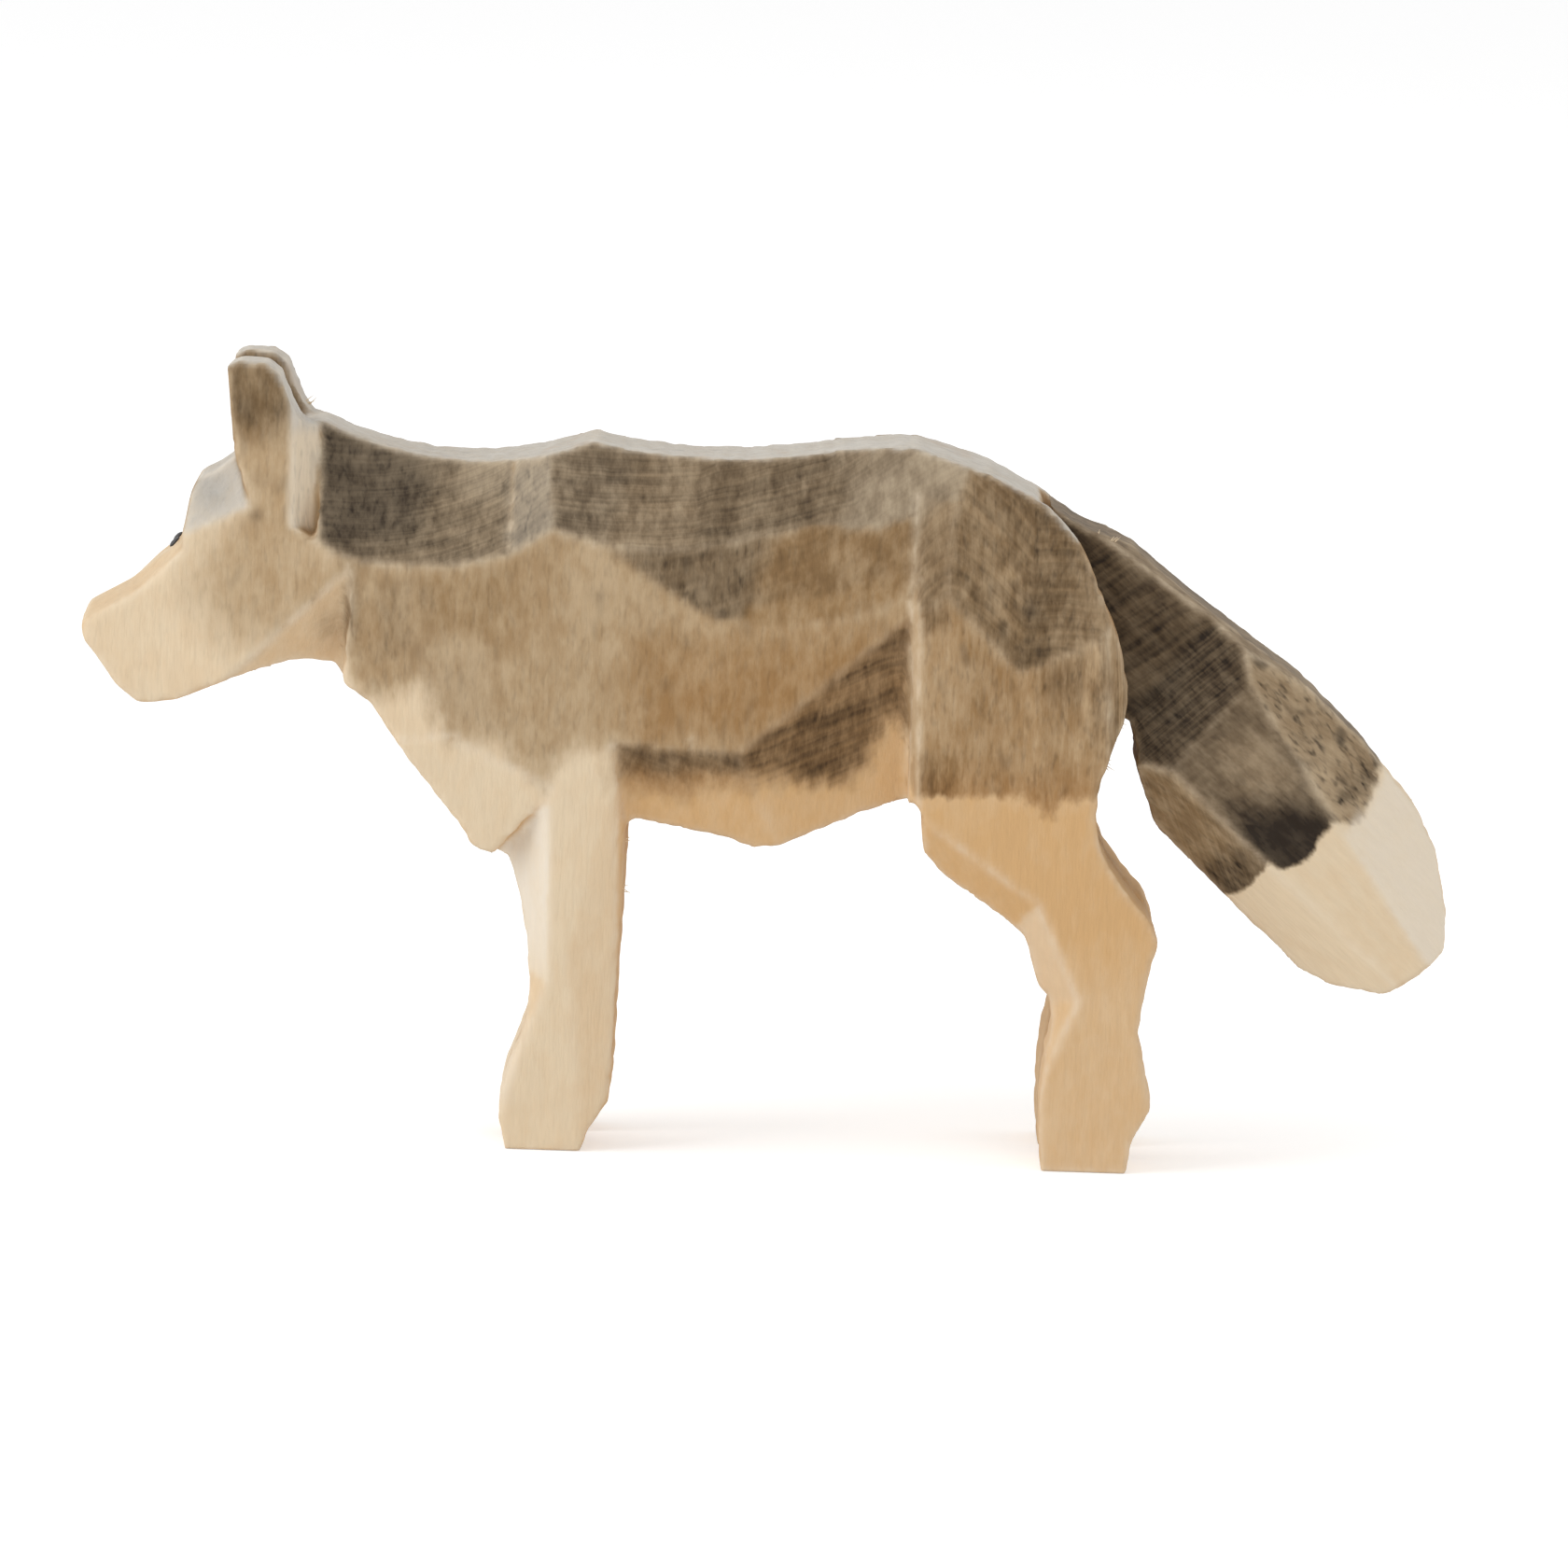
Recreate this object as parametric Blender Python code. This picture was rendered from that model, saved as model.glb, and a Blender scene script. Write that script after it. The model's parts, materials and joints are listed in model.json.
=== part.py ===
"""A carved wooden wolf: a turned and knife-cut body, a tail pegged and glued in, and two painted eyes.

Units are metres, +Z is up, and the wolf looks along -X. The origin is on the ground under the middle
of the wolf. The body is made as a carver makes it. A blank with the wolf's side outline is split off a
turned ring, so its grain runs up the legs. Then flat and hollow knife cuts thin it towards the back,
the belly, the head and the feet, and slots part the ears and the legs. Every cut is drawn on the left
side, which is the side at -Y, and the right side mirrors it.
"""

import itertools
import math
from dataclasses import dataclass

import bpy
import bmesh
import numpy as np
from mathutils import Matrix, Vector

MM = 0.001

# Stations along the wolf, nose at the negative end
NOSE_STATION = -0.0451
CHIN_STATION = -0.0413
EAR_STATION = -0.0352
NAPE_STATION = -0.0304
THROAT_STATION = -0.0286
BRISKET_STATION = -0.0192
FORELEG_STATION = -0.0123
SHOULDER_STATION = -0.0121
BELLY_STATION = 0.0007
LOIN_STATION = 0.0037
RUMP_STATION = 0.0089
FLANK_STATION = 0.0097
DOCK_STATION = 0.0177
HINDLEG_STATION = 0.0217
BUTTOCK_STATION = 0.0235

# Heights above the ground
NOSE_HEIGHT = 0.0350
CHIN_HEIGHT = 0.0288
CROWN_HEIGHT = 0.0453
NAPE_HEIGHT = 0.0478
THROAT_HEIGHT = 0.0318
BRISKET_HEIGHT = 0.0201
SHOULDER_HEIGHT = 0.0471
BELLY_HEIGHT = 0.0206
FLANK_HEIGHT = 0.0242
LOIN_HEIGHT = 0.0470
RUMP_HEIGHT = 0.04745
DOCK_HEIGHT = 0.0440
BUTTOCK_HEIGHT = 0.0318
ELBOW_HEIGHT = 0.0219
HOCK_HEIGHT = 0.0155

# Widths from side to side
THIGH_WIDTH = 0.0136
BODY_WIDTH = 0.0126
CHEEK_WIDTH = 0.0119
MUZZLE_WIDTH = 0.0078
BACK_WIDTH = 0.0070
FOREFOOT_WIDTH = 0.0100

# Ears and legs
EAR_LENGTH = 0.0065
EAR_GAP = 0.0036
FORELEG_DEPTH = 0.0062
HINDLEG_DEPTH = 0.0062
FORELEG_GAP = 0.0030
HINDLEG_GAP = 0.0040
NECK_START = 0.0005
NECK_SAG = 0.00185
BACK_SAG = 0.0008

# The tail, along and across its own axis, and its joint in the rump
TAIL_SLOPE = math.radians(42)
TAIL_LENGTH = 0.0342
TAIL_DEPTH = 0.0140
TAIL_WIDTH = 0.0088
TAIL_ROOT_WIDTH = 0.0064
PEG_DIAMETER = 0.0032
PEG_LENGTH = 0.0045
GLUE_GAP = 0.0003

# The painted eyes
EYE_DIAMETER = 0.0009
EYE_THICKNESS = 0.0002
EYE_SPACING = 0.0026
EYE_BEFORE_CROWN = 0.0043
PAINT_GAP = 0.0001

# How finely curves are cut, and how far cutters reach past the wood
BACK_CUTS = 10
HOLLOW_STRIPS = 8
PEG_SIDES = 32
EYE_SIDES = 20
RIM_ANGLE = math.radians(40)
REACH = 0.004

# Landmarks of the side outline, each a station and a height
NOSE = (NOSE_STATION, NOSE_HEIGHT)
CHIN = (CHIN_STATION, CHIN_HEIGHT)
CROWN = (EAR_STATION, CROWN_HEIGHT)
NAPE = (NAPE_STATION, NAPE_HEIGHT)
THROAT = (THROAT_STATION, THROAT_HEIGHT)
BRISKET = (BRISKET_STATION, BRISKET_HEIGHT)
SHOULDER = (SHOULDER_STATION, SHOULDER_HEIGHT)
ELBOW = (FORELEG_STATION + 0.52 * FORELEG_DEPTH, ELBOW_HEIGHT)
BELLY = (BELLY_STATION, BELLY_HEIGHT)
FLANK = (FLANK_STATION, FLANK_HEIGHT)
HOCK = (HINDLEG_STATION + 0.68 * HINDLEG_DEPTH, HOCK_HEIGHT)
BUTTOCK = (BUTTOCK_STATION, BUTTOCK_HEIGHT)
DOCK = (DOCK_STATION, DOCK_HEIGHT)
RUMP = (RUMP_STATION, RUMP_HEIGHT)
LOIN = (LOIN_STATION, LOIN_HEIGHT)


def by(landmark, right, up):
    """The outline point so many millimetres right of a landmark and above it."""
    return (landmark[0] + right * MM, landmark[1] + up * MM)


def sagging(start, end, sag, cuts):
    """Points between two landmarks of a back line that hangs like a shallow bow."""
    points = []
    for index in range(1, cuts):
        share = index / cuts
        station = start[0] + (end[0] - start[0]) * share
        level = start[1] + (end[1] - start[1]) * share
        points.append((station, level - sag * 4 * share * (1 - share)))
    return points


def leg(station, depth, top, rows):
    """Leg points, from shares of the leg's depth about its middle and of its top's height."""
    return [(station + across * depth, share * top) for across, share in rows]


def head_underside():
    """From the nose round the chin and along the jaw to the throat."""
    return [
        by(NOSE, -0.2, -0.8),
        by(NOSE, -0.1, -2.1),
        by(NOSE, 1.0, -3.4),
        by(CHIN, -1.6, 1.15),
        CHIN,
        by(CHIN, 2.4, 0.35),
        by(CHIN, 5.9, 1.9),
        by(THROAT, -2.7, 0.2),
        THROAT,
    ]


def chest():
    """From the throat down the breast to where the forelegs begin."""
    return [
        by(THROAT, 0.5, -1.0),
        by(THROAT, 2.5, -2.3),
        by(THROAT, 4.1, -4.7),
        by(BRISKET, -3.2, 4.3),
        by(BRISKET, -0.95, 1.5),
        BRISKET,
        by(BRISKET, 2.2, -0.85),
    ]


def foreleg():
    """Down the front of a foreleg, along its sole and up its back."""
    return leg(
        FORELEG_STATION,
        FORELEG_DEPTH,
        ELBOW_HEIGHT,
        [
            (-0.63, 0.78),
            (-0.53, 0.65),
            (-0.49, 0.51),
            (-0.50, 0.40),
            (-0.61, 0.31),
            (-0.77, 0.19),
            (-0.78, 0.09),
            (-0.69, 0.0),
            (0.14, 0.0),
            (0.19, 0.06),
            (0.42, 0.15),
            (0.45, 0.27),
            (0.46, 0.50),
            (0.51, 0.78),
            (0.52, 1.0),
        ],
    )


def belly():
    """Along the belly, lowest in the middle, to the front of the thigh."""
    return [
        by(ELBOW, 0.4, 0.4),
        by(BELLY, -3.6, 0.6),
        by(BELLY, -1.6, -0.05),
        BELLY,
        by(FLANK, -3.4, -1.15),
        FLANK,
    ]


def hindleg():
    """Down the front of a hind leg, along its sole and up over the hock to the breech."""
    rows = [
        (-1.87, 1.50),
        (-1.84, 1.34),
        (-1.60, 1.24),
        (-1.14, 1.12),
        (-0.74, 1.0),
        (-0.55, 0.77),
        (-0.45, 0.74),
        (-0.41, 0.64),
        (-0.48, 0.50),
        (-0.51, 0.34),
        (-0.51, 0.14),
        (-0.47, 0.0),
        (0.47, 0.0),
        (0.48, 0.12),
        (0.71, 0.29),
        (0.61, 0.45),
        (0.53, 0.62),
        (0.60, 0.82),
        (0.70, 1.0),
        (0.60, 1.10),
        (0.39, 1.19),
        (0.16, 1.31),
        (0.04, 1.41),
        (-0.01, 1.53),
    ]
    return leg(HINDLEG_STATION, HINDLEG_DEPTH, HOCK_HEIGHT, rows)


def rump():
    """Up the back of the thigh to the dock, where the tail starts, and over the rump to the loin."""
    return [
        by(BUTTOCK, -1.7, -5.8),
        by(BUTTOCK, -0.3, -2.0),
        BUTTOCK,
        by(BUTTOCK, -0.8, 3.8),
        by(DOCK, 3.5, -5.0),
        by(DOCK, 2.2, -2.2),
        DOCK,
        by(DOCK, -3.9, 2.0),
        RUMP,
        by(RUMP, -2.2, -0.12),
        LOIN,
    ]


def head_top():
    """Over the ears and down the forehead to the nose."""
    tip = CROWN[1] + EAR_LENGTH
    return [
        by(NAPE, 0.5, 0.0),
        by(NAPE, -0.3, -0.1),
        by(NAPE, -1.0, 0.8),
        (CROWN[0] + 2.7 * MM, tip - 0.7 * MM),
        (CROWN[0] + 1.8 * MM, tip - 0.1 * MM),
        (CROWN[0] - 0.1 * MM, tip),
        (CROWN[0] - 0.8 * MM, tip - 0.5 * MM),
        by(CROWN, -0.2, 0.0),
        by(CROWN, -1.45, -1.0),
        by(CROWN, -2.75, -1.65),
        by(CROWN, -3.2, -2.7),
        by(CROWN, -3.5, -4.8),
        by(NOSE, 5.95, 4.3),
        by(NOSE, 4.6, 3.3),
        by(NOSE, 2.8, 1.6),
        NOSE,
    ]


def side_outline():
    """The blank's side outline, from the nose under the wolf and back over it."""
    points = head_underside() + chest() + foreleg() + belly() + hindleg() + rump()
    points += sagging(LOIN, SHOULDER, BACK_SAG, BACK_CUTS)
    points += [SHOULDER]
    points += sagging(SHOULDER, by(NAPE, 0.5, 0.0), NECK_SAG, BACK_CUTS)
    return points + head_top()


@dataclass(frozen=True)
class KnifeCut:
    """One cut on the left side: the knife leaves flat or hollow faces, and only inside its region.

    The region is an outline of stations and heights, where the knife stops. Each face is a plane through
    three marks, and a mark is a station, a height and the depth of wood that is left there from the
    middle plane out. Where a cut has more than one face, they meet in a valley. A hollow is how much
    deeper the first face is cut half way between two stations.
    """

    name: str
    region: tuple
    faces: tuple
    hollow: float = 0.0
    hollow_ends: tuple = (0.0, 1.0)

    def planes(self):
        """The slopes and the offset of each face, for depth = slope * station + slope * height + offset."""
        found = []
        for face in self.faces:
            rows = np.array([(mark[0], mark[1], 1.0) for mark in face])
            found.append(np.linalg.solve(rows, np.array([mark[2] for mark in face])))
        return found

    def depth_at(self, station, height):
        """The wood left from the middle plane to the cut face."""
        depths = [plane[0] * station + plane[1] * height + plane[2] for plane in self.planes()]
        start, end = self.hollow_ends
        share = min(max((station - start) / (end - start), 0.0), 1.0)
        depths[0] -= self.hollow * 4 * share * (1 - share)
        return max(depths)


def mark(point, depth):
    """A point of the side outline with the depth of wood that a cut leaves there."""
    return (point[0], point[1], depth)


def link(obj):
    bpy.context.scene.collection.objects.link(obj)
    return obj


def helper(name, mesh):
    """A cutter, drawn as wires and left out of the finished wolf."""
    obj = link(bpy.data.objects.new(name, mesh))
    obj.display_type = "WIRE"
    obj.hide_render = True
    return obj


def prism_mesh(name, outline, right_side, left_side):
    """A side outline pulled out from Y = right_side to Y = left_side."""
    mesh = bpy.data.meshes.new(name)
    shape = bmesh.new()
    corners = [shape.verts.new((station, right_side, height)) for station, height in outline]
    face = shape.faces.new(corners)
    pulled = bmesh.ops.extrude_face_region(shape, geom=[face])
    moved = [item for item in pulled["geom"] if isinstance(item, bmesh.types.BMVert)]
    for corner in moved:
        corner.co.y = left_side
    bmesh.ops.recalc_face_normals(shape, faces=shape.faces[:])
    shape.to_mesh(mesh)
    shape.free()
    return mesh


def split(shape, point, normal):
    """Splits a flat shape's faces along a line, and keeps both sides."""
    parts = shape.verts[:] + shape.edges[:] + shape.faces[:]
    bmesh.ops.bisect_plane(shape, geom=parts, plane_co=point, plane_no=normal)


def knife(cut, outermost):
    """The block of wood that a cut takes off, from its faces out past the blank's left side."""
    mesh = bpy.data.meshes.new(cut.name)
    shape = bmesh.new()
    corners = [shape.verts.new((station, 0.0, height)) for station, height in cut.region]
    shape.faces.new(corners)
    if cut.hollow:
        start, end = cut.hollow_ends
        for strip in range(HOLLOW_STRIPS + 1):
            split(shape, (start + (end - start) * strip / HOLLOW_STRIPS, 0, 0), (1, 0, 0))
    planes = cut.planes()
    for one, other in itertools.combinations(planes, 2):
        valley = Vector((one[0] - other[0], 0, one[1] - other[1]))
        foot = valley * ((other[2] - one[2]) / valley.length_squared)
        split(shape, foot, valley.normalized())
    pulled = bmesh.ops.extrude_face_region(shape, geom=shape.faces[:])
    outer = {item for item in pulled["geom"] if isinstance(item, bmesh.types.BMVert)}
    for corner in shape.verts:
        if corner in outer:
            corner.co.y = -outermost - REACH
        else:
            corner.co.y = -cut.depth_at(corner.co.x, corner.co.z)
    bmesh.ops.triangulate(shape, faces=[face for face in shape.faces if len(face.verts) > 3])
    bmesh.ops.recalc_face_normals(shape, faces=shape.faces[:])
    shape.to_mesh(mesh)
    shape.free()
    return helper(cut.name, mesh)


def boolean(obj, other, operation):
    step = obj.modifiers.new(other.name, "BOOLEAN")
    step.operation = operation
    step.solver = "EXACT"
    step.object = other


def carve(obj, cuts, outermost):
    """Makes every knife cut on the left side, then mirrors the left half to the right."""
    for cut in cuts:
        cutter = knife(cut, outermost)
        cutter.parent = obj
        boolean(obj, cutter, "DIFFERENCE")
    halves = obj.modifiers.new("both_sides", "MIRROR")
    halves.use_axis = (False, True, False)
    halves.use_bisect_axis = (False, True, False)
    halves.use_bisect_flip_axis = (False, True, False)
    halves.merge_threshold = 0.00001


def slot(name, outline, width, top_width):
    """A slot cutter between the left and right ears or legs, tapering from the floor's width to the top's."""
    mesh = prism_mesh(name, outline, width / 2, -width / 2)
    heights = [corner.co.z for corner in mesh.vertices]
    for corner in mesh.vertices:
        share = (corner.co.z - min(heights)) / (max(heights) - min(heights))
        corner.co.y *= 1 + (top_width / width - 1) * share
    return helper(name, mesh)


def wood(name, colour, roughness):
    material = bpy.data.materials.new(name)
    material.use_nodes = True
    shader = material.node_tree.nodes["Principled BSDF"]
    shader.inputs["Base Color"].default_value = (*colour, 1.0)
    shader.inputs["Roughness"].default_value = roughness
    shader.inputs["Metallic"].default_value = 0.0
    return material


# Half widths, which the marks of the cuts give as depths
THIGH = THIGH_WIDTH / 2
SIDE = BODY_WIDTH / 2
CHEEK = CHEEK_WIDTH / 2
MUZZLE = MUZZLE_WIDTH / 2
SPINE = BACK_WIDTH / 2
FOREFOOT = FOREFOOT_WIDTH / 2


def head_cuts():
    """The tapering sides of the head, its crowned snout, the forehead, the throat and the step to the neck."""
    ridge = 0.5 * MM
    bridge = by(NOSE, 2.8, 1.65)
    neck_start = NECK_START / MM
    return [
        KnifeCut(
            "cut_head_side",
            (by(NOSE, -8, -12), by(NAPE, 2.0, -25), by(NAPE, 2.0, 12), by(NOSE, -8, 25)),
            (
                (
                    mark(by(NOSE, 0, -0.6), MUZZLE),
                    mark(by(NAPE, -0.2, -7.3), CHEEK),
                    mark(by(CROWN, 2, 6), 0.9 * CHEEK),
                ),
            ),
        ),
        KnifeCut(
            "cut_snout",
            (
                by(NOSE, -2, -2.4),
                by(bridge, 0, -1.6),
                by(CROWN, -2.6, -8.4),
                by(CROWN, -3.6, -5.4),
                by(CROWN, -3.6, 0),
                by(NOSE, -2, 5),
            ),
            (
                (mark(by(NOSE, 0.2, 0), ridge), mark(bridge, ridge), mark(by(NOSE, 1.9, 0.4), MUZZLE)),
                (
                    mark(bridge, ridge),
                    mark(by(CROWN, -4.2, -5.7), ridge),
                    mark(by(CROWN, -5.3, -7.9), 1.1 * MUZZLE),
                ),
            ),
        ),
        KnifeCut(
            "cut_forehead",
            (
                by(CROWN, -5.5, -6.3),
                by(CROWN, 1.0, -3.3),
                by(CROWN, -0.2, 0),
                by(CROWN, -0.7, 1.6),
                by(CROWN, -5.5, 1.6),
            ),
            (
                (
                    mark(by(CROWN, -2.2, -4.6), 0.84 * CHEEK),
                    mark(by(CROWN, 0.9, -3.1), 0.91 * CHEEK),
                    mark(by(CROWN, -1.6, -0.8), 0.44 * CHEEK),
                ),
            ),
        ),
        KnifeCut(
            "cut_throat",
            (
                by(THROAT, -8.0, -2.2),
                by(THROAT, -5.4, -3.8),
                by(THROAT, 0.5, -2.6),
                by(THROAT, 0.6, -0.2),
                by(THROAT, 1.1, 6.8),
            ),
            (
                (
                    mark(by(THROAT, -7.3, -1.3), 0.9 * CHEEK),
                    mark(by(THROAT, 1.0, 6.4), 1.04 * CHEEK),
                    mark(by(THROAT, -0.6, -0.1), 0.57 * CHEEK),
                ),
            ),
        ),
        KnifeCut(
            "cut_head_rear",
            (by(NAPE, -1.5, -6.4), by(NAPE, neck_start, -7.4), by(NAPE, neck_start, 5), by(NAPE, -1.5, 5)),
            (
                (
                    mark(by(NAPE, -1.2, -1.3), 0.97 * CHEEK),
                    mark(by(NAPE, -1.1, -6.8), 0.98 * CHEEK),
                    mark(by(NAPE, neck_start, -1.8), SPINE),
                ),
            ),
        ),
    ]


def neck_and_back_cuts():
    """The hollow beside the neck, and the bevels that narrow the back from the shoulder to the loin."""
    neck_end = by(SHOULDER, -5.15, -8.7)
    neck_start = NECK_START / MM
    loin = by(RUMP, -3.0, -6.1)
    split_low = by(SHOULDER, 7.2, -12.3)
    return [
        KnifeCut(
            "cut_neck",
            (by(NAPE, neck_start, -10.3), neck_end, by(neck_end, 0, 14), by(NAPE, neck_start, 5)),
            (
                (
                    mark(by(NAPE, 0.05, -8.0), SIDE),
                    mark(by(neck_end, 0, 1.4), SIDE),
                    mark(by(NAPE, 6.2, -1.7), SPINE - 0.1 * MM),
                ),
            ),
            hollow=0.5 * MM,
            hollow_ends=(NAPE[0] + NECK_START, neck_end[0]),
        ),
        KnifeCut(
            "cut_shoulder_front",
            (neck_end, by(neck_end, 7, 0), by(neck_end, 7, 14), by(neck_end, 0, 14)),
            (
                (
                    mark(by(SHOULDER, -5.3, -7.4), SIDE),
                    mark(by(SHOULDER, -1.7, -5.1), SIDE),
                    mark(by(SHOULDER, -2.2, -1.2), SPINE + 1.1 * MM),
                ),
            ),
        ),
        KnifeCut(
            "cut_back",
            (
                by(SHOULDER, -4.1, -8.2),
                by(loin, 3.2, -2.4),
                by(loin, 3.2, 0.1),
                by(loin, 5.4, 1.4),
                by(loin, 6.7, 5.1),
                by(loin, 7.1, 11),
                by(SHOULDER, -4.1, 5),
            ),
            (
                (
                    mark(by(SHOULDER, -1.6, -5.0), SIDE - 0.1 * MM),
                    mark(loin, SIDE - 0.6 * MM),
                    mark(by(SHOULDER, 8.2, -0.7), SPINE + 0.4 * MM),
                ),
                (
                    mark(by(loin, -2.1, 3.1), SPINE + 0.8 * MM),
                    mark(by(loin, 5.0, 1.4), SIDE - 0.5 * MM),
                    mark(by(loin, 6.3, 5.1), SIDE - 1.5 * MM),
                ),
            ),
            hollow=0.7 * MM,
            hollow_ends=(SHOULDER[0] - 4.1 * MM, loin[0]),
        ),
        KnifeCut(
            "cut_ribs",
            (
                by(split_low, -13.3, -1.2),
                by(loin, 3.2, -6.9),
                by(loin, 3.2, 1.8),
                by(SHOULDER, -6.1, -4.0),
            ),
            (
                (
                    mark(by(split_low, 0.9, 1.3), SIDE),
                    mark(by(loin, 2.7, -3.6), SIDE),
                    mark(by(loin, -3.6, -0.2), SIDE - 0.7 * MM),
                ),
                (
                    mark(by(SHOULDER, -1.6, -5.2), SIDE),
                    mark(by(split_low, 0.9, 1.2), SIDE),
                    mark(by(split_low, 4.1, 5.9), SIDE - 0.75 * MM),
                ),
            ),
            hollow=0.2 * MM,
            hollow_ends=(split_low[0], loin[0] + 2.8 * MM),
        ),
    ]


def flank_and_belly_cuts():
    """The flat flank in front of the proud thigh, and the two bevels that run in under the belly."""
    ridge = by(BELLY, -2.6, 6.5)
    thigh_front = by(FLANK, -0.6, 0)
    return [
        KnifeCut(
            "cut_flank",
            (
                by(NOSE, -8, -20),
                by(thigh_front, 0, -9),
                by(thigh_front, 0, 12.7),
                by(thigh_front, 0.4, 16.2),
                by(RUMP, 2.0, -4.7),
                by(RUMP, 3.3, -1.0),
                by(RUMP, 3.7, 6),
                by(NOSE, -8, 25),
            ),
            ((mark(NOSE, SIDE), mark(FLANK, SIDE), mark(BRISKET, SIDE)),),
        ),
        KnifeCut(
            "cut_belly_rear",
            (
                by(ridge, -4.3, 2.4),
                by(ridge, -4.3, -9),
                by(thigh_front, 0, -6),
                by(thigh_front, 0, 12.6),
            ),
            ((mark(ridge, SIDE), mark(by(thigh_front, 0, 12.4), SIDE), mark(FLANK, 0.57 * SIDE)),),
        ),
        KnifeCut(
            "cut_belly_front",
            (
                by(ELBOW, -1.1, 5.9),
                by(ELBOW, 0, -0.2),
                by(ELBOW, 0, -3),
                by(ridge, 9.7, -9),
                by(ridge, 9.7, 1.4),
            ),
            ((mark(by(ELBOW, -0.4, 5.7), SIDE), mark(ridge, SIDE), mark(BELLY, 0.7 * SIDE)),),
        ),
        KnifeCut(
            "cut_thigh_edge",
            (
                by(thigh_front, -0.05, -1.5),
                by(thigh_front, 0.9, -1.5),
                by(thigh_front, 0.9, 17.5),
                by(thigh_front, -0.05, 17.5),
            ),
            (
                (
                    mark(by(thigh_front, 0, 12.4), SIDE - 0.1 * MM),
                    mark(by(thigh_front, 0, 0.2), SIDE - 0.5 * MM),
                    mark(by(thigh_front, 0.6, 6), THIGH),
                ),
            ),
        ),
        KnifeCut(
            "cut_thigh_top",
            (
                by(thigh_front, -0.05, 12.1),
                by(thigh_front, 3.1, 14.1),
                by(thigh_front, 3.1, 20.7),
                by(thigh_front, -0.05, 20.7),
            ),
            (
                (
                    mark(by(thigh_front, -0.1, 12.2), THIGH),
                    mark(by(thigh_front, 2.9, 14.1), THIGH),
                    mark(by(thigh_front, 0.3, 17.2), SIDE - 0.55 * MM),
                ),
            ),
        ),
    ]


def foreleg_cuts():
    """The side of the neck, the chest, and the faces that thin a foreleg to its foot."""
    shank = (FORELEG_STATION, ELBOW_HEIGHT)
    return [
        KnifeCut(
            "cut_neck_side",
            (by(THROAT, 0.9, 7.0), by(THROAT, 0.4, -5), by(THROAT, 8.4, -4.1)),
            (
                (
                    mark(by(THROAT, 0.9, 6.8), SIDE),
                    mark(by(THROAT, 8.2, -4.0), SIDE),
                    mark(by(THROAT, 0.4, -0.6), SIDE - 0.7 * MM),
                ),
            ),
        ),
        KnifeCut(
            "cut_foreleg_side",
            (by(BRISKET, -11, -21), by(ELBOW, 4, -23), by(ELBOW, 4, 6), by(BRISKET, -11, 7.8)),
            (
                (
                    mark(by(BRISKET, 0, 7.8), SIDE),
                    mark(by(ELBOW, 0, 6.0), SIDE),
                    mark((FORELEG_STATION, 0.0), FOREFOOT),
                ),
            ),
        ),
        KnifeCut(
            "cut_chest",
            (by(BRISKET, -7, 9.8), by(BRISKET, -11, -1.7), by(BRISKET, 3.0, -0.7), by(shank, -1.8, 2.5)),
            (
                (
                    mark(by(BRISKET, -5.0, 8.9), SIDE - 0.1 * MM),
                    mark(by(shank, -1.8, 2.5), SIDE - 0.2 * MM),
                    mark(by(BRISKET, -0.3, 0.3), SIDE - 1.0 * MM),
                ),
            ),
        ),
        KnifeCut(
            "cut_foreleg_front",
            (
                by(shank, -1.7, 2.2),
                by(shank, -5.5, -2.3),
                by(shank, -6.9, -21),
                by(shank, -1.4, -21),
                by(shank, -1.4, -12),
            ),
            (
                (
                    mark(by(shank, -2.05, -1.3), SIDE - 0.4 * MM),
                    mark(by(shank, -1.75, -13.5), FOREFOOT + 0.35 * MM),
                    mark(by(shank, -3.3, -7.5), FOREFOOT - 0.8 * MM),
                ),
                (
                    mark(by(shank, -1.8, -10.5), FOREFOOT + 0.5 * MM),
                    mark(by(shank, -4.5, -18.1), FOREFOOT + 0.15 * MM),
                    mark(by(shank, -4.2, -14.5), FOREFOOT - 0.5 * MM),
                ),
            ),
        ),
        KnifeCut(
            "cut_foreleg_rear",
            (
                by(ELBOW, -1.1, 5.4),
                by(ELBOW, -1.1, -20.5),
                by(ELBOW, 1, -20.5),
                by(ELBOW, 1, -0.6),
                by(ELBOW, 0, -0.6),
                by(ELBOW, -0.7, 5.4),
            ),
            (
                (
                    mark(by(ELBOW, -0.8, 5.0), SIDE),
                    mark(by(ELBOW, -0.85, -15.5), FOREFOOT + 0.3 * MM),
                    mark(by(ELBOW, 0, -5.5), FOREFOOT - 0.1 * MM),
                ),
            ),
        ),
        KnifeCut(
            "cut_foreleg_calf",
            (
                by(shank, -0.8, -23),
                by(shank, 5.0, -23),
                by(shank, 5.0, -0.4),
                by(shank, 3.3, 0),
                by(shank, 2.95, 5.5),
                by(shank, -0.8, -6),
            ),
            (
                (
                    mark(by(shank, 0.85, -19.1), FOREFOOT + 0.1 * MM),
                    mark(by(shank, -0.2, -10.9), FOREFOOT + 0.5 * MM),
                    mark(by(shank, 2.4, -13.5), FOREFOOT),
                ),
                (
                    mark(by(shank, -0.4, -8.5), FOREFOOT + 0.62 * MM),
                    mark(by(shank, 2.9, 5.4), SIDE - 0.03 * MM),
                    mark(by(shank, 2.6, -3.5), FOREFOOT + 0.6 * MM),
                ),
            ),
        ),
    ]


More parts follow.
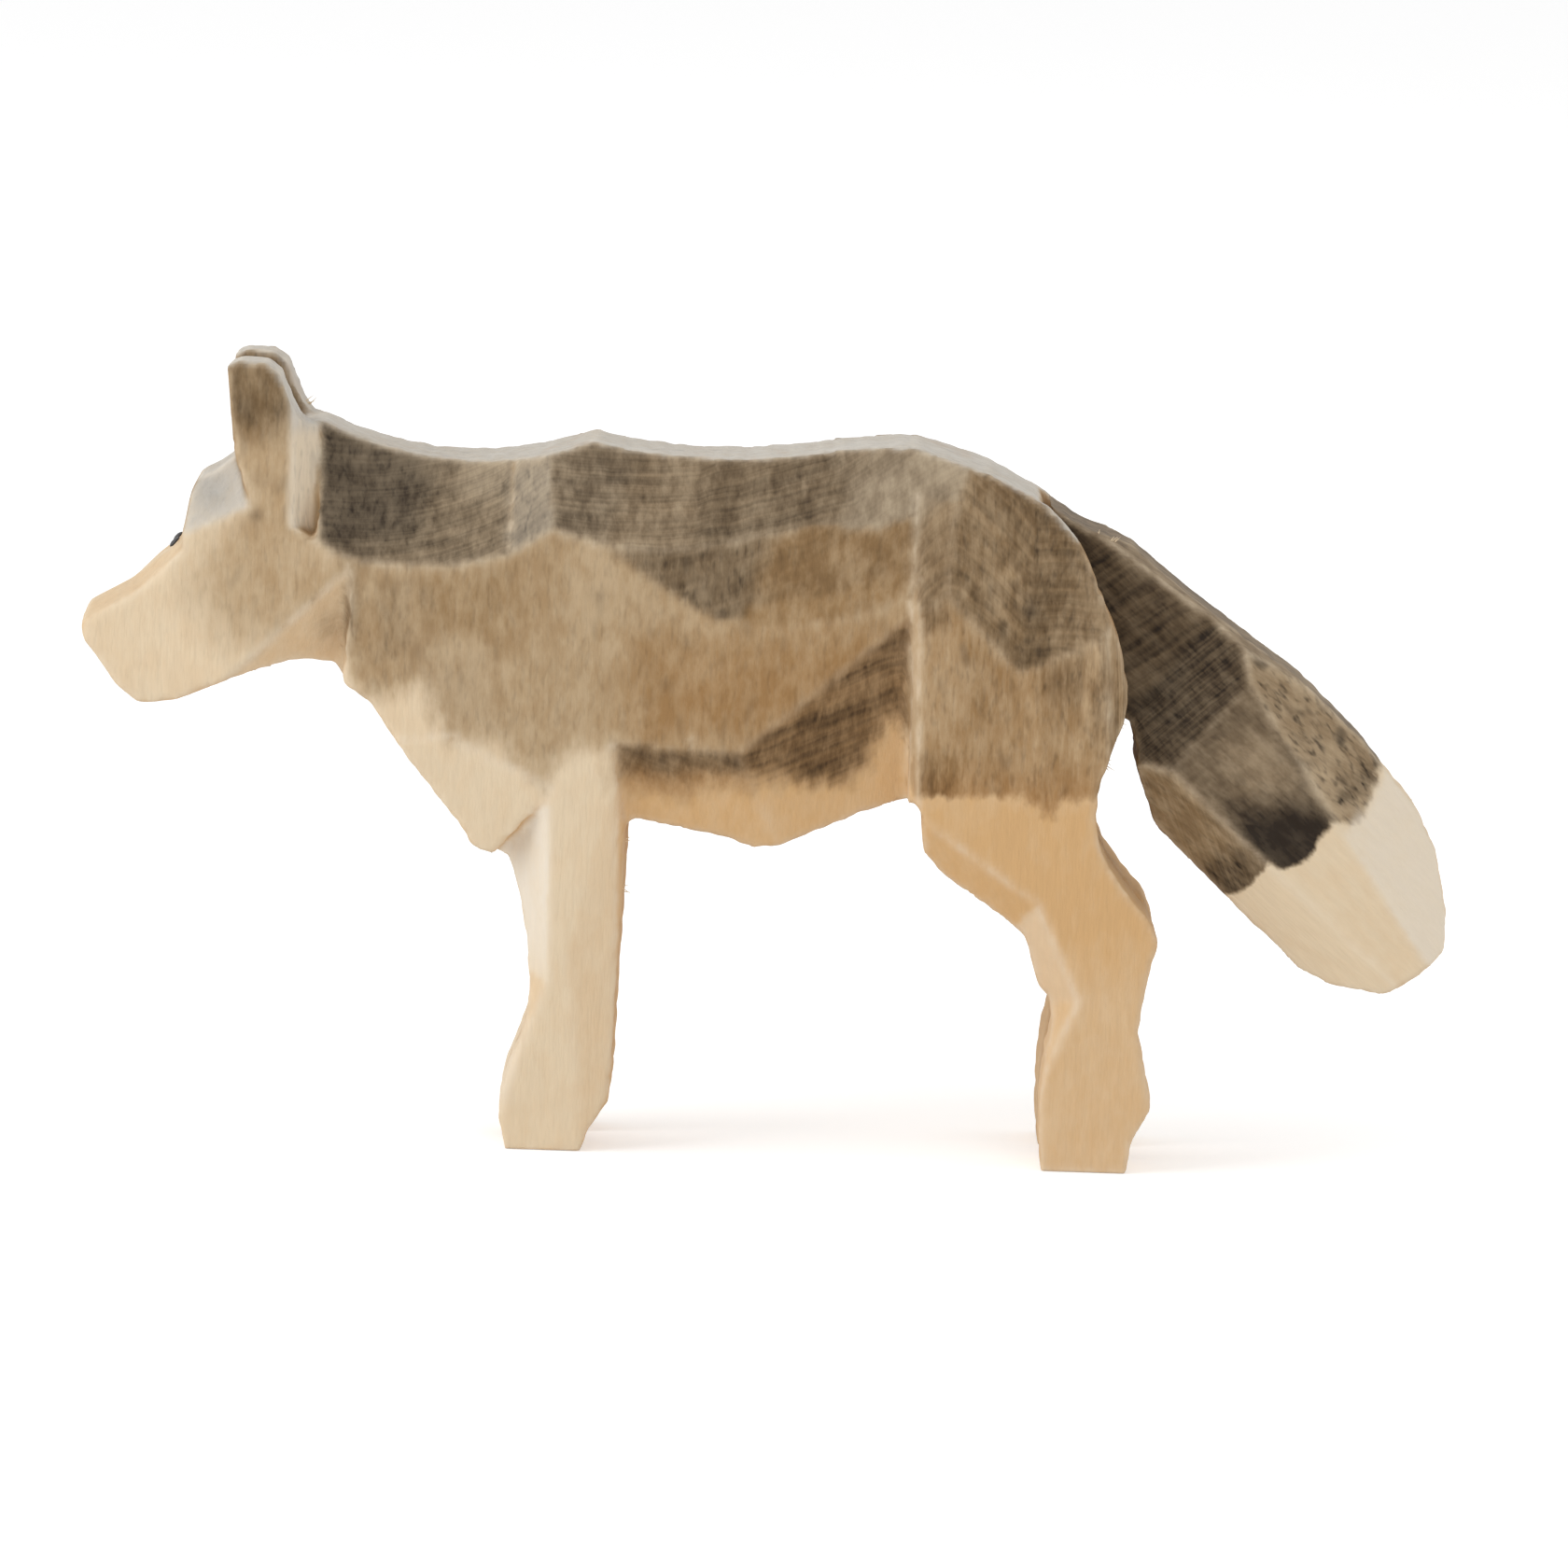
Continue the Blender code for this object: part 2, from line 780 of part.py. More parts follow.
def rump_and_hindleg_cuts():
    """The two hollow faces of the rump, and the faces round the thigh, hock and hind foot."""
    valley = by(DOCK, -1.5, -10.6)
    top = mark(by(DOCK, -0.5, -0.4), THIGH - 2.3 * MM)
    stifle = (HINDLEG_STATION, HOCK_HEIGHT)
    return [
        KnifeCut(
            "cut_rump",
            (
                by(valley, -6.6, 5.5),
                by(valley, 0, -1.5),
                by(valley, 13, -1.5),
                by(valley, 13, 19),
                by(valley, -4.1, 19),
                by(valley, -4.4, 13),
                by(valley, -5.7, 9.3),
                by(valley, -6.6, 7.9),
            ),
            (
                (mark(by(valley, -3.3, 4.0), THIGH - 0.2 * MM), mark(valley, THIGH - 0.05 * MM), top),
                (mark(valley, THIGH - 0.05 * MM), mark(by(valley, 6.2, 3.3), THIGH - 0.2 * MM), top),
            ),
        ),
        KnifeCut(
            "cut_buttock",
            (
                by(BUTTOCK, -4, -4),
                by(BUTTOCK, 4, -4),
                by(BUTTOCK, 4, 6),
                by(BUTTOCK, -4, 6),
            ),
            (
                (
                    mark(by(BUTTOCK, -1.7, 3.6), THIGH),
                    mark(by(BUTTOCK, -1.3, -1.9), THIGH),
                    mark(by(BUTTOCK, 0, 0.4), THIGH - 0.9 * MM),
                ),
            ),
        ),
        KnifeCut(
            "cut_hindleg_side",
            (by(stifle, -12.9, -20), by(stifle, 9, -20), by(stifle, 9, 8), by(stifle, -12.9, 8)),
            (
                (
                    mark(by(stifle, -12, 7.9), THIGH),
                    mark(by(stifle, 2, 7.9), THIGH),
                    mark((HINDLEG_STATION, 0.0), THIGH - 0.4 * MM),
                ),
            ),
        ),
        KnifeCut(
            "cut_hindleg_front",
            (
                by(stifle, -12.9, 8.9),
                by(stifle, -12.9, -11),
                by(stifle, -0.9, -11),
                by(stifle, -0.9, 2.6),
                by(stifle, -4.0, 2.8),
            ),
            (
                (
                    mark(by(stifle, -11.6, 7.8), THIGH),
                    mark(by(stifle, -4.2, 2.6), THIGH - 0.1 * MM),
                    mark(by(stifle, -8.3, 2.9), THIGH - 1.4 * MM),
                ),
                (
                    mark(by(stifle, -3.9, 2.6), THIGH - 0.1 * MM),
                    mark(by(stifle, -1.1, -3.4), THIGH - 0.2 * MM),
                    mark(by(stifle, -4.0, -1.8), THIGH - 1.5 * MM),
                ),
                (
                    mark(by(stifle, -1.3, -5.0), THIGH - 0.25 * MM),
                    mark(by(stifle, -3.3, -9.7), THIGH - 0.35 * MM),
                    mark(by(stifle, -3.6, -6.9), THIGH - 1.5 * MM),
                ),
            ),
        ),
    ]


# The flat seat that the tail's root is glued to, cut from the dock down to under the buttocks
SEAT_TOP = by(DOCK, -0.3, 0.1)
SEAT_BOTTOM = by(BUTTOCK, -1.1, -1.4)
SEAT_MIDDLE = ((SEAT_TOP[0] + SEAT_BOTTOM[0]) / 2, (SEAT_TOP[1] + SEAT_BOTTOM[1]) / 2)


def shade_round(mesh):
    """Shades a round mesh smooth, and keeps its rims sharp."""
    mesh.shade_smooth()
    mesh.set_sharp_from_angle(angle=RIM_ANGLE)


def round_bar(name, radius, start, end):
    """A round bar along the tail's axis, which the tail's own frame has as X."""
    mesh = bpy.data.meshes.new(name)
    shape = bmesh.new()
    turn = Matrix.Translation(((start + end) / 2, 0, 0)) @ Matrix.Rotation(math.pi / 2, 4, "Y")
    bmesh.ops.create_cone(
        shape,
        cap_ends=True,
        segments=PEG_SIDES,
        radius1=radius,
        radius2=radius,
        depth=end - start,
        matrix=turn,
    )
    shape.to_mesh(mesh)
    shape.free()
    shade_round(mesh)
    return mesh


def place_on_tail_axis(obj):
    obj.location = (SEAT_MIDDLE[0], 0, SEAT_MIDDLE[1])
    obj.rotation_euler = (0, TAIL_SLOPE, 0)


def tail_notch():
    """The notch between the buttocks: its floor is the seat, and its walls clear the tail's root."""
    lean = (SEAT_BOTTOM[0] - SEAT_TOP[0]) / (SEAT_TOP[1] - SEAT_BOTTOM[1])
    above, below = REACH, 0.4 * (SEAT_TOP[1] - SEAT_BOTTOM[1])
    top = (SEAT_TOP[0] - lean * above, SEAT_TOP[1] + above)
    bottom = (SEAT_BOTTOM[0] + lean * below, SEAT_BOTTOM[1] - below)
    outline = (top, bottom, (bottom[0] + 3 * REACH, bottom[1]), (top[0] + 3 * REACH, top[1]))
    half = TAIL_ROOT_WIDTH / 2 + GLUE_GAP
    return helper("cut_tail_notch", prism_mesh("cut_tail_notch", outline, half, -half))


def carved_body():
    """The head, ears, trunk and legs, which are one piece of wood."""
    mesh = prism_mesh("carved_body", side_outline(), THIGH, -THIGH)
    body = link(bpy.data.objects.new("carved_body", mesh))
    cuts = flank_and_belly_cuts() + head_cuts() + neck_and_back_cuts()
    cuts += foreleg_cuts() + rump_and_hindleg_cuts()
    carve(body, cuts, THIGH)
    tip = CROWN[1] + EAR_LENGTH + REACH
    ears = (
        by(CROWN, -2, -0.5),
        by(CROWN, 0, 0),
        by(NAPE, 0.4, 0.1),
        (NAPE[0] + REACH, tip),
        (CROWN[0] - REACH, tip),
    )
    forelegs = (
        (BRISKET[0] - REACH, -REACH),
        (ELBOW[0] + REACH, -REACH),
        by(ELBOW, 4, 0.3),
        by(BRISKET, -4, -0.2),
    )
    hindlegs = (
        (FLANK[0] - REACH, -REACH),
        (HOCK[0] + REACH, -REACH),
        (HOCK[0] + REACH, FLANK[1] + 1.5 * MM),
        (FLANK[0] - REACH, FLANK[1] - 1.5 * MM),
    )
    boolean(body, slot("cut_between_ears", ears, 0.8 * EAR_GAP, 1.2 * EAR_GAP), "DIFFERENCE")
    boolean(body, slot("cut_between_forelegs", forelegs, FORELEG_GAP, 0.8 * FORELEG_GAP), "DIFFERENCE")
    boolean(body, slot("cut_between_hindlegs", hindlegs, HINDLEG_GAP, 0.8 * HINDLEG_GAP), "DIFFERENCE")
    boolean(body, tail_notch(), "DIFFERENCE")
    drilled = round_bar("cut_peg_bore", PEG_DIAMETER / 2 + GLUE_GAP, -PEG_LENGTH - GLUE_GAP, REACH)
    bore = helper("cut_peg_bore", drilled)
    place_on_tail_axis(bore)
    boolean(body, bore, "DIFFERENCE")
    body.data.materials.append(wood("limewood_stained", (0.42, 0.33, 0.21), 0.7))
    return body


def tail_outline():
    """The tail's side outline in its own frame, as shares of its length and depth."""
    rows = [
        (-0.30, 0.20),
        (-0.18, 0.25),
        (-0.09, 0.29),
        (-0.05, 0.34),
        (0.00, 0.38),
        (0.13, 0.395),
        (0.26, 0.43),
        (0.42, 0.477),
        (0.58, 0.468),
        (0.75, 0.413),
        (0.84, 0.328),
        (0.94, 0.15),
        (0.985, 0.02),
        (0.98, -0.15),
        (0.96, -0.33),
        (0.87, -0.488),
        (0.81, -0.53),
        (0.65, -0.525),
        (0.43, -0.507),
        (0.375, -0.505),
        (0.336, -0.45),
        (0.27, -0.29),
        (0.23, -0.23),
        (0.19, -0.28),
        (-0.30, -0.28),
    ]
    return [(along * TAIL_LENGTH, above * TAIL_DEPTH) for along, above in rows]


def tail_cuts():
    """The tail's faces: a straight neck at the root that flares to the full width, and thin edges."""

    def spot(along, above, depth):
        return (along * TAIL_LENGTH, above * TAIL_DEPTH, depth)

    def region(*corners):
        return tuple(spot(along, above, 0)[:2] for along, above in corners)

    full = TAIL_WIDTH / 2
    root = TAIL_ROOT_WIDTH / 2
    return [
        KnifeCut(
            "cut_tail_side",
            region((-0.5, -1), (1.3, -1), (1.3, 1), (-0.5, 1)),
            ((spot(0.26, 0.41, full), spot(0.33, -0.39, full), spot(0.93, -0.13, 0.84 * full)),),
        ),
        KnifeCut(
            "cut_tail_upper",
            region((0.2, 0.0), (1.3, -0.35), (1.3, 1), (0.2, 1)),
            (
                (
                    spot(0.33, 0.3, 0.99 * full),
                    spot(0.95, -0.07, 0.835 * full),
                    spot(0.62, 0.48, 0.36 * full),
                ),
            ),
        ),
        KnifeCut(
            "cut_tail_lower",
            region((0.2, -1), (1.3, -1), (1.3, -0.1), (0.2, -0.1)),
            (
                (
                    spot(0.36, -0.26, 0.985 * full),
                    spot(0.90, -0.26, 0.85 * full),
                    spot(0.61, -0.51, 0.5 * full),
                ),
            ),
        ),
        KnifeCut(
            "cut_tail_root",
            region((-0.5, -0.7), (0.6, -0.7), (0.6, 0.7), (-0.5, 0.7)),
            (
                (spot(-0.2, 0.4, root), spot(-0.2, -0.4, root), spot(0.2, 0.4, root)),
                (spot(0.22, 0.1, root), spot(0.225, -0.25, root), spot(0.35, 0.1, full)),
            ),
        ),
        KnifeCut(
            "cut_tail_top",
            region((-0.5, 0.1), (0.5, 0.1), (0.5, 0.9), (-0.5, 0.9)),
            ((spot(-0.05, 0.35, 0.5 * full), spot(0.26, 0.44, 0.5 * full), spot(0.12, 0.36, 0.8 * full)),),
        ),
    ]


def tail():
    """The tail with its round peg. Its grain and its peg run along its axis."""
    half = TAIL_WIDTH / 2
    brush = link(bpy.data.objects.new("tail", prism_mesh("tail", tail_outline(), half, -half)))
    carve(brush, tail_cuts(), half)
    rise = SEAT_TOP[1] - SEAT_BOTTOM[1]
    run = SEAT_BOTTOM[0] - SEAT_TOP[0]
    slope = math.atan2(rise, run) - TAIL_SLOPE
    across = Vector((math.sin(slope), 0, math.cos(slope)))
    reach = max(TAIL_LENGTH, TAIL_DEPTH)
    block = bpy.data.meshes.new("cut_tail_seat")
    shape = bmesh.new()
    bmesh.ops.create_cube(shape, size=2 * reach)
    bmesh.ops.translate(shape, verts=shape.verts[:], vec=(0, 0, GLUE_GAP - reach))
    turn = Vector((0, 0, 1)).rotation_difference(across).to_matrix()
    bmesh.ops.rotate(shape, verts=shape.verts[:], matrix=turn)
    shape.to_mesh(block)
    shape.free()
    seat = helper("cut_tail_seat", block)
    seat.parent = brush
    boolean(brush, seat, "DIFFERENCE")
    peg = helper("tail_peg", round_bar("tail_peg", PEG_DIAMETER / 2, -PEG_LENGTH, PEG_DIAMETER))
    peg.parent = brush
    boolean(brush, peg, "UNION")
    place_on_tail_axis(brush)
    brush.data.materials.append(wood("limewood_tail", (0.36, 0.28, 0.18), 0.7))
    return brush


def eye(name, side):
    """A dot of black paint on the slope of the snout, just in front of the forehead."""
    snout = next(cut for cut in head_cuts() if cut.name == "cut_snout")
    station = CROWN[0] - EYE_BEFORE_CROWN
    depth = EYE_SPACING / 2

    def height_on(face):
        rearward, upward, offset = face
        return (depth - offset - rearward * station) / upward

    face = max(snout.planes(), key=height_on)
    normal = Vector((-face[0], side, -face[1])).normalized()
    base = Vector((station, side * depth, height_on(face))) + normal * PAINT_GAP
    mesh = bpy.data.meshes.new(name)
    shape = bmesh.new()
    bmesh.ops.create_cone(
        shape,
        cap_ends=True,
        segments=EYE_SIDES,
        radius1=EYE_DIAMETER / 2,
        radius2=EYE_DIAMETER / 3,
        depth=EYE_THICKNESS,
        matrix=Matrix.Translation((0, 0, EYE_THICKNESS / 2)),
    )
    shape.to_mesh(mesh)
    shape.free()
    shade_round(mesh)
    dot = link(bpy.data.objects.new(name, mesh))
    dot.location = base
    dot.rotation_euler = normal.to_track_quat("Z", "Y").to_euler()
    dot.data.materials.append(wood(name + "_paint", (0.02, 0.018, 0.016), 0.35))
    return dot


def main():
    for obj in list(bpy.data.objects):
        bpy.data.objects.remove(obj, do_unlink=True)
    carved_body()
    tail()
    eye("left_eye", -1)
    eye("right_eye", 1)


main()
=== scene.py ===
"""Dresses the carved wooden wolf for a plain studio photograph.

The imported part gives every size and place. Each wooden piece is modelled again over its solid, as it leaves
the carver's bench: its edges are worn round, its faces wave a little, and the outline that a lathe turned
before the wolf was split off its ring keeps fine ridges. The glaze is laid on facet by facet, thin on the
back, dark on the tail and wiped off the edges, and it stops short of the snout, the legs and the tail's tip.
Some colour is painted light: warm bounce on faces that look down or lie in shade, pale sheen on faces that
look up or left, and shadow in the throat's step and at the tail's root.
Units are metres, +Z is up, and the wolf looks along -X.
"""

import json
import logging
import math
from dataclasses import dataclass
from enum import Enum

import bmesh
import bpy
import numpy as np
from mathutils import Matrix, Vector, noise
from mathutils.bvhtree import BVHTree
from mathutils.kdtree import KDTree

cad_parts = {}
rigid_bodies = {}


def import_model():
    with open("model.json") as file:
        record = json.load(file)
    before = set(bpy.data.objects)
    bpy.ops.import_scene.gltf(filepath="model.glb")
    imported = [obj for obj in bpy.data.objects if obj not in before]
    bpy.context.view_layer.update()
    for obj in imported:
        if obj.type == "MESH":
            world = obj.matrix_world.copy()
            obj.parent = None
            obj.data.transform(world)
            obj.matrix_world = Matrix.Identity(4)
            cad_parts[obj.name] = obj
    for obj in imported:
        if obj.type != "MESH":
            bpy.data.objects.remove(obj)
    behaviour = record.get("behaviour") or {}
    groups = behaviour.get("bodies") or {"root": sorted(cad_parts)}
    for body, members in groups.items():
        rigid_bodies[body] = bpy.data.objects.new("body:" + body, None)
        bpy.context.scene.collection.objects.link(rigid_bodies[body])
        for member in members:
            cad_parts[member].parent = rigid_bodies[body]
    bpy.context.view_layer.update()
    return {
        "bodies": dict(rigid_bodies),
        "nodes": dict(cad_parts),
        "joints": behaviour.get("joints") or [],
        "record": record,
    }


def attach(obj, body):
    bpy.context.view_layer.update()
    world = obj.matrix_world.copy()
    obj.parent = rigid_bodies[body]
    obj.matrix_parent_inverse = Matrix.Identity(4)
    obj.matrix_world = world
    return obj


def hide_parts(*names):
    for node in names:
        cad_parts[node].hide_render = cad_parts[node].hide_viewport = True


MM = 0.001
ROOT = "root"

NUMBER = "NodeSocketFloat"
VECTOR = "NodeSocketVector"
COLOUR = "NodeSocketColor"
PRINCIPLED = "Principled BSDF"
FIGURE_MASKS = ("Layers", "Fibres", "Pores", "Patches", "Feather")
COAT_NUMBERS = ("Brown", "Black", "Cover", "Ragged", "Edge", "Pool", "Fuzz", "Speck", "Figure")
COAT_TINTS = ("Brown", "Black", "Worn", "Fuzz")

log = logging.getLogger("wooden_wolf")

Socket = bpy.types.NodeSocket
Triple = tuple[float, float, float]
Outline = tuple[tuple[float, float], ...]
Inputs = dict[str | int, Socket | float | tuple]
Coat = dict[str, np.ndarray]


class Side(Enum):
    """The wolf's sides, as the sign of Y on each."""

    LEFT = -1
    RIGHT = 1


class Grain(Enum):
    """How steeply the fibres run, in degrees: up the legs of the body, and down the slope of the tail."""

    UPRIGHT = 90.0
    TAIL_SLOPE = 42.0


class Cloud(Enum):
    """The noises in the wood's figure: lumps per metre, with Z along the grain, detail and roughness."""

    MOTTLE = ((1100, 1100, 520), 3.0, 0.62)
    FIBRES = ((3000, 3000, 430), 2.0, 0.6)
    PORES = ((3300, 3300, 1000), 1.0, 0.5)
    DASHES = ((900, 900, 420), 1.0, 0.4)
    BLOTCHES = ((190, 190, 120), 2.0, 0.5)
    FEATHER = ((1150, 1150, 600), 3.0, 0.55)


@dataclass(frozen=True)
class Glaze:
    """The glaze on one knife facet, which is found by a spot on it as seen from the side, in millimetres.

    Brown and black are the strengths of the two pigments. Honey is how much warmer than cream the wood is,
    and on facets that look down or back it is partly painted warm bounce light. Fuzz and sheen is how much
    pale torn fibre and painted sheen cover it, speck is how many dark pores show, and figure is how strongly
    the growth layers do.
    """

    facet: str
    station: float
    height: float
    brown: float = 0.0
    black: float = 0.0
    honey: float = 0.12
    fuzz: float = 0.0
    speck: float = 0.2
    figure: float = 0.3


@dataclass(frozen=True)
class Patch:
    """A stretch of some facets that differs from them: its outline and its border's width, in millimetres.

    No facets named means all of them, and a value that isn't given stays as it is on the facet.
    """

    name: str
    facets: tuple[str, ...]
    outline: Outline
    soft: float
    brown: float | None = None
    black: float | None = None
    honey: float | None = None
    fuzz: float | None = None
    speck: float | None = None
    figure: float | None = None


@dataclass(frozen=True)
class DarkSpot:
    """A small dark spot: its middle, half length and half height in millimetres, and how dark it is."""

    station: float
    height: float
    half_length: float
    half_height: float
    black: float


@dataclass(frozen=True)
class WoodFigure:
    """The growth layers' lumps per metre in depth, along the wolf and up it, and how the mottle bends them.

    For each fine layer there are broad ones at the rate that broad gives. The shares say how much a second
    noise counts beside the first. A pair of values is where a mask starts and where it is full.
    """

    deep: float = 11500.0
    along: float = 160.0
    up: float = 110.0
    bent: float = 1.1
    broad: float = 0.31
    broad_share: float = 0.4
    blotch_share: float = 0.4
    pore_share: float = 0.8
    pores: tuple[float, float] = (0.47, 0.84)
    dashes: tuple[float, float] = (0.58, 0.84)
    masks: tuple[float, float] = (0.25, 0.75)
    mottle: tuple[float, float] = (0.3, 0.7)


@dataclass(frozen=True)
class GlazeSway:
    """How the glaze takes to the wood.

    Torn is how far its border frays. Edge values say how much of a ridge is worn, how unevenly, how much
    glaze is lost there and how pale it is. Brown and black say how much the mottle, the fibres and the growth
    layers sway each pigment, and the rest how dark pores and hollows get and how uneven the pale fuzz and
    painted sheen are.
    """

    torn: float = 1.5
    edge_least: float = 0.35
    edge_torn: float = 0.9
    edge_loss: float = 0.55
    edge_worn: float = 0.4
    brown: Triple = (0.32, 0.3, 0.2)
    black: Triple = (0.8, 0.9, 2.0)
    black_gain: float = 1.3
    most_black: float = 1.06
    pores: float = 0.4
    pool: float = 0.1
    fuzz: float = 0.5


@dataclass(frozen=True)
class WoodFinish:
    """The colours, roughness and grain of limewood under a thin water glaze, in linear light."""

    name: str
    cream: Triple = (0.73, 0.59, 0.41)
    honey: Triple = (0.62, 0.385, 0.18)
    worn: Triple = (0.80, 0.70, 0.56)
    # The pale tint of torn fibre, which also serves as painted sheen.
    fuzz: Triple = (0.80, 0.76, 0.69)
    brown: Triple = (0.52, 0.41, 0.275)
    black: Triple = (0.045, 0.040, 0.040)
    warmth: float = 0.24
    shade: float = 0.05
    roughness: float = 0.72
    uneven: float = 0.12
    specular: float = 0.2
    grain: Grain = Grain.UPRIGHT
    growth: Triple = (-0.09, 1.0, 0.0)
    curve_from: float = 10.0 * MM
    curve: float = 10.0
    relief: float = 0.03 * MM
    relief_strength: float = 0.6
    pore_depth: float = 0.6


@dataclass(frozen=True)
class PaintFinish:
    """A dot of black lacquer, a little duller and greyer where the brush dragged."""

    name: str = "eye_paint"
    colour: Triple = (0.012, 0.011, 0.012)
    dragged: Triple = (0.05, 0.045, 0.045)
    roughness: float = 0.32
    duller: float = 0.25
    drag: Triple = (6000.0, 6000.0, 6000.0)


class NodeSheet:
    """A node tree with short calls that add a node and give back its output."""

    def __init__(self, tree: bpy.types.NodeTree) -> None:
        """Starts on an empty or a standard tree."""
        self.tree = tree

    def fill(self, node: bpy.types.Node, inputs: Inputs) -> None:
        """Links a node's inputs to sockets, or sets them.

        Args:
            node: The node.
            inputs: What goes into each input, by its name or its place.
        """
        for name, value in inputs.items():
            if isinstance(value, bpy.types.NodeSocket):
                self.tree.links.new(value, node.inputs[name])
            else:
                node.inputs[name].default_value = value

    def node(self, kind: str, inputs: Inputs | None = None, **settings: object) -> bpy.types.Node:
        """Adds a node.

        Args:
            kind: The node's type name.
            inputs: What goes into its inputs.
            settings: Its properties.

        Returns:
            The node.
        """
        made = self.tree.nodes.new(kind)
        for name, value in settings.items():
            setattr(made, name, value)
        self.fill(made, inputs or {})
        return made

    def math(self, operation: str, *values: Socket | float, clamp: bool = False) -> Socket:
        """Adds a Math node.

        Args:
            operation: Its operation.
            values: Its operands.
            clamp: Whether the result stays between 0 and 1.

        Returns:
            The result's socket.
        """
        made = self.node("ShaderNodeMath", dict(enumerate(values)), operation=operation, use_clamp=clamp)
        return made.outputs[0]

    def total(self, base: Socket | float, *terms: tuple[Socket, Socket | float]) -> Socket:
        """Adds each term's value times its factor to a base."""
        for value, factor in terms:
            base = self.math("MULTIPLY_ADD", value, factor, base)
        return base

    def mix(
        self, factor: Socket | float, one: Socket | tuple, other: Socket | tuple, blend: str = "MIX"
    ) -> Socket:
        """Mixes two colours.

        Args:
            factor: The share of the second colour.
            one: The first colour.
            other: The second colour.
            blend: The way they mix.

        Returns:
            The mixed colour's socket.
        """
        first, second = (
            colour if isinstance(colour, bpy.types.NodeSocket) else (*colour, 1.0) for colour in (one, other)
        )
        inputs = {"Factor": factor, 6: first, 7: second}
        return self.node("ShaderNodeMix", inputs, data_type="RGBA", blend_type=blend).outputs[2]

    def cloud(self, vector: Socket, scale: Triple, detail: float, roughness: float = 0.5) -> Socket:
        """Adds soft noise.

        Args:
            vector: Where it is read.
            scale: How many lumps it has per unit along each axis.
            detail: How many finer layers it has.
            roughness: How strong those are.

        Returns:
            The noise's socket.
        """
        place = self.node("ShaderNodeMapping", {"Vector": vector, "Scale": scale}).outputs["Vector"]
        inputs = {"Vector": place, "Scale": 1.0, "Detail": detail, "Roughness": roughness}
        return self.node("ShaderNodeTexNoise", inputs).outputs["Fac"]

    def between(self, value: Socket, low: float, high: float) -> Socket:
        """Turns a value into a smooth step from 0 at low to 1 at high."""
        inputs = {"Value": value, "From Min": low, "From Max": high}
        return self.node("ShaderNodeMapRange", inputs, interpolation_type="SMOOTHSTEP").outputs["Result"]

    def attribute(self, name: str) -> Socket:
        """Reads a number that the mesh keeps at each point."""
        return self.node("ShaderNodeAttribute", attribute_name=name).outputs["Fac"]


class GroupSheet(NodeSheet):
    """A new shader node group, with what it is given and its result."""

    def __init__(self, name: str, inputs: dict[str, str], outputs: dict[str, str]) -> None:
        """Starts the group.

        Args:
            name: The group's name.
            inputs: Each input's name and socket type.
            outputs: Each output's name and socket type.
        """
        super().__init__(bpy.data.node_groups.new(name, "ShaderNodeTree"))
        for way, sockets in (("INPUT", inputs), ("OUTPUT", outputs)):
            for label, kind in sockets.items():
                self.tree.interface.new_socket(label, in_out=way, socket_type=kind)
        self.given = self.node("NodeGroupInput").outputs
        self.result = self.node("NodeGroupOutput")


def wood_figure(look: WoodFigure) -> bpy.types.NodeTree:
    """Builds the figure of the wood: growth layers, fibres and dark pores.

    The growth layers lie nearly parallel to the wolf's sides. A slanted facet cuts across them and shows fine
    streaks, and a flat one shows broad soft bands.

    Args:
        look: Its scale and its shares.

    Returns:
        A group from wood coordinates, with Z along the grain, and the depth in the layers to masks.
    """
    masks = dict.fromkeys(FIGURE_MASKS, NUMBER)
    sheet = GroupSheet("wood_figure", {"Vector": VECTOR, "Growth": NUMBER}, masks)
    place = sheet.given["Vector"]
    cloud = {kind: sheet.cloud(place, *kind.value) for kind in Cloud}
    parts = sheet.node("ShaderNodeSeparateXYZ", {0: place}).outputs
    warped = {
        0: sheet.total(0.0, (cloud[Cloud.MOTTLE], look.bent), (sheet.given["Growth"], look.deep)),
        1: sheet.math("MULTIPLY", parts[0], look.along),
        2: sheet.math("MULTIPLY", parts[2], look.up),
    }
    deep = sheet.node("ShaderNodeCombineXYZ", warped).outputs[0]
    fine = sheet.cloud(deep, (1.0, 1.0, 1.0), 1.5)
    broad = sheet.cloud(deep, (look.broad, 1.0, 1.0), 1.0)
    bands = sheet.total(0.0, (fine, 1.0 - look.broad_share), (broad, look.broad_share))
    blots = (cloud[Cloud.MOTTLE], 1.0 - look.blotch_share), (cloud[Cloud.BLOTCHES], look.blotch_share)
    spots = sheet.math("MULTIPLY", sheet.between(cloud[Cloud.PORES], *look.pores), look.pore_share)
    results = {
        "Layers": sheet.between(bands, *look.masks),
        "Fibres": sheet.between(cloud[Cloud.FIBRES], *look.masks),
        "Pores": sheet.math("MAXIMUM", spots, sheet.between(cloud[Cloud.DASHES], *look.dashes)),
        "Patches": sheet.between(sheet.total(0.0, *blots), *look.mottle),
        "Feather": sheet.between(cloud[Cloud.FEATHER], *look.masks),
    }
    sheet.fill(sheet.result, results)
    return sheet.tree


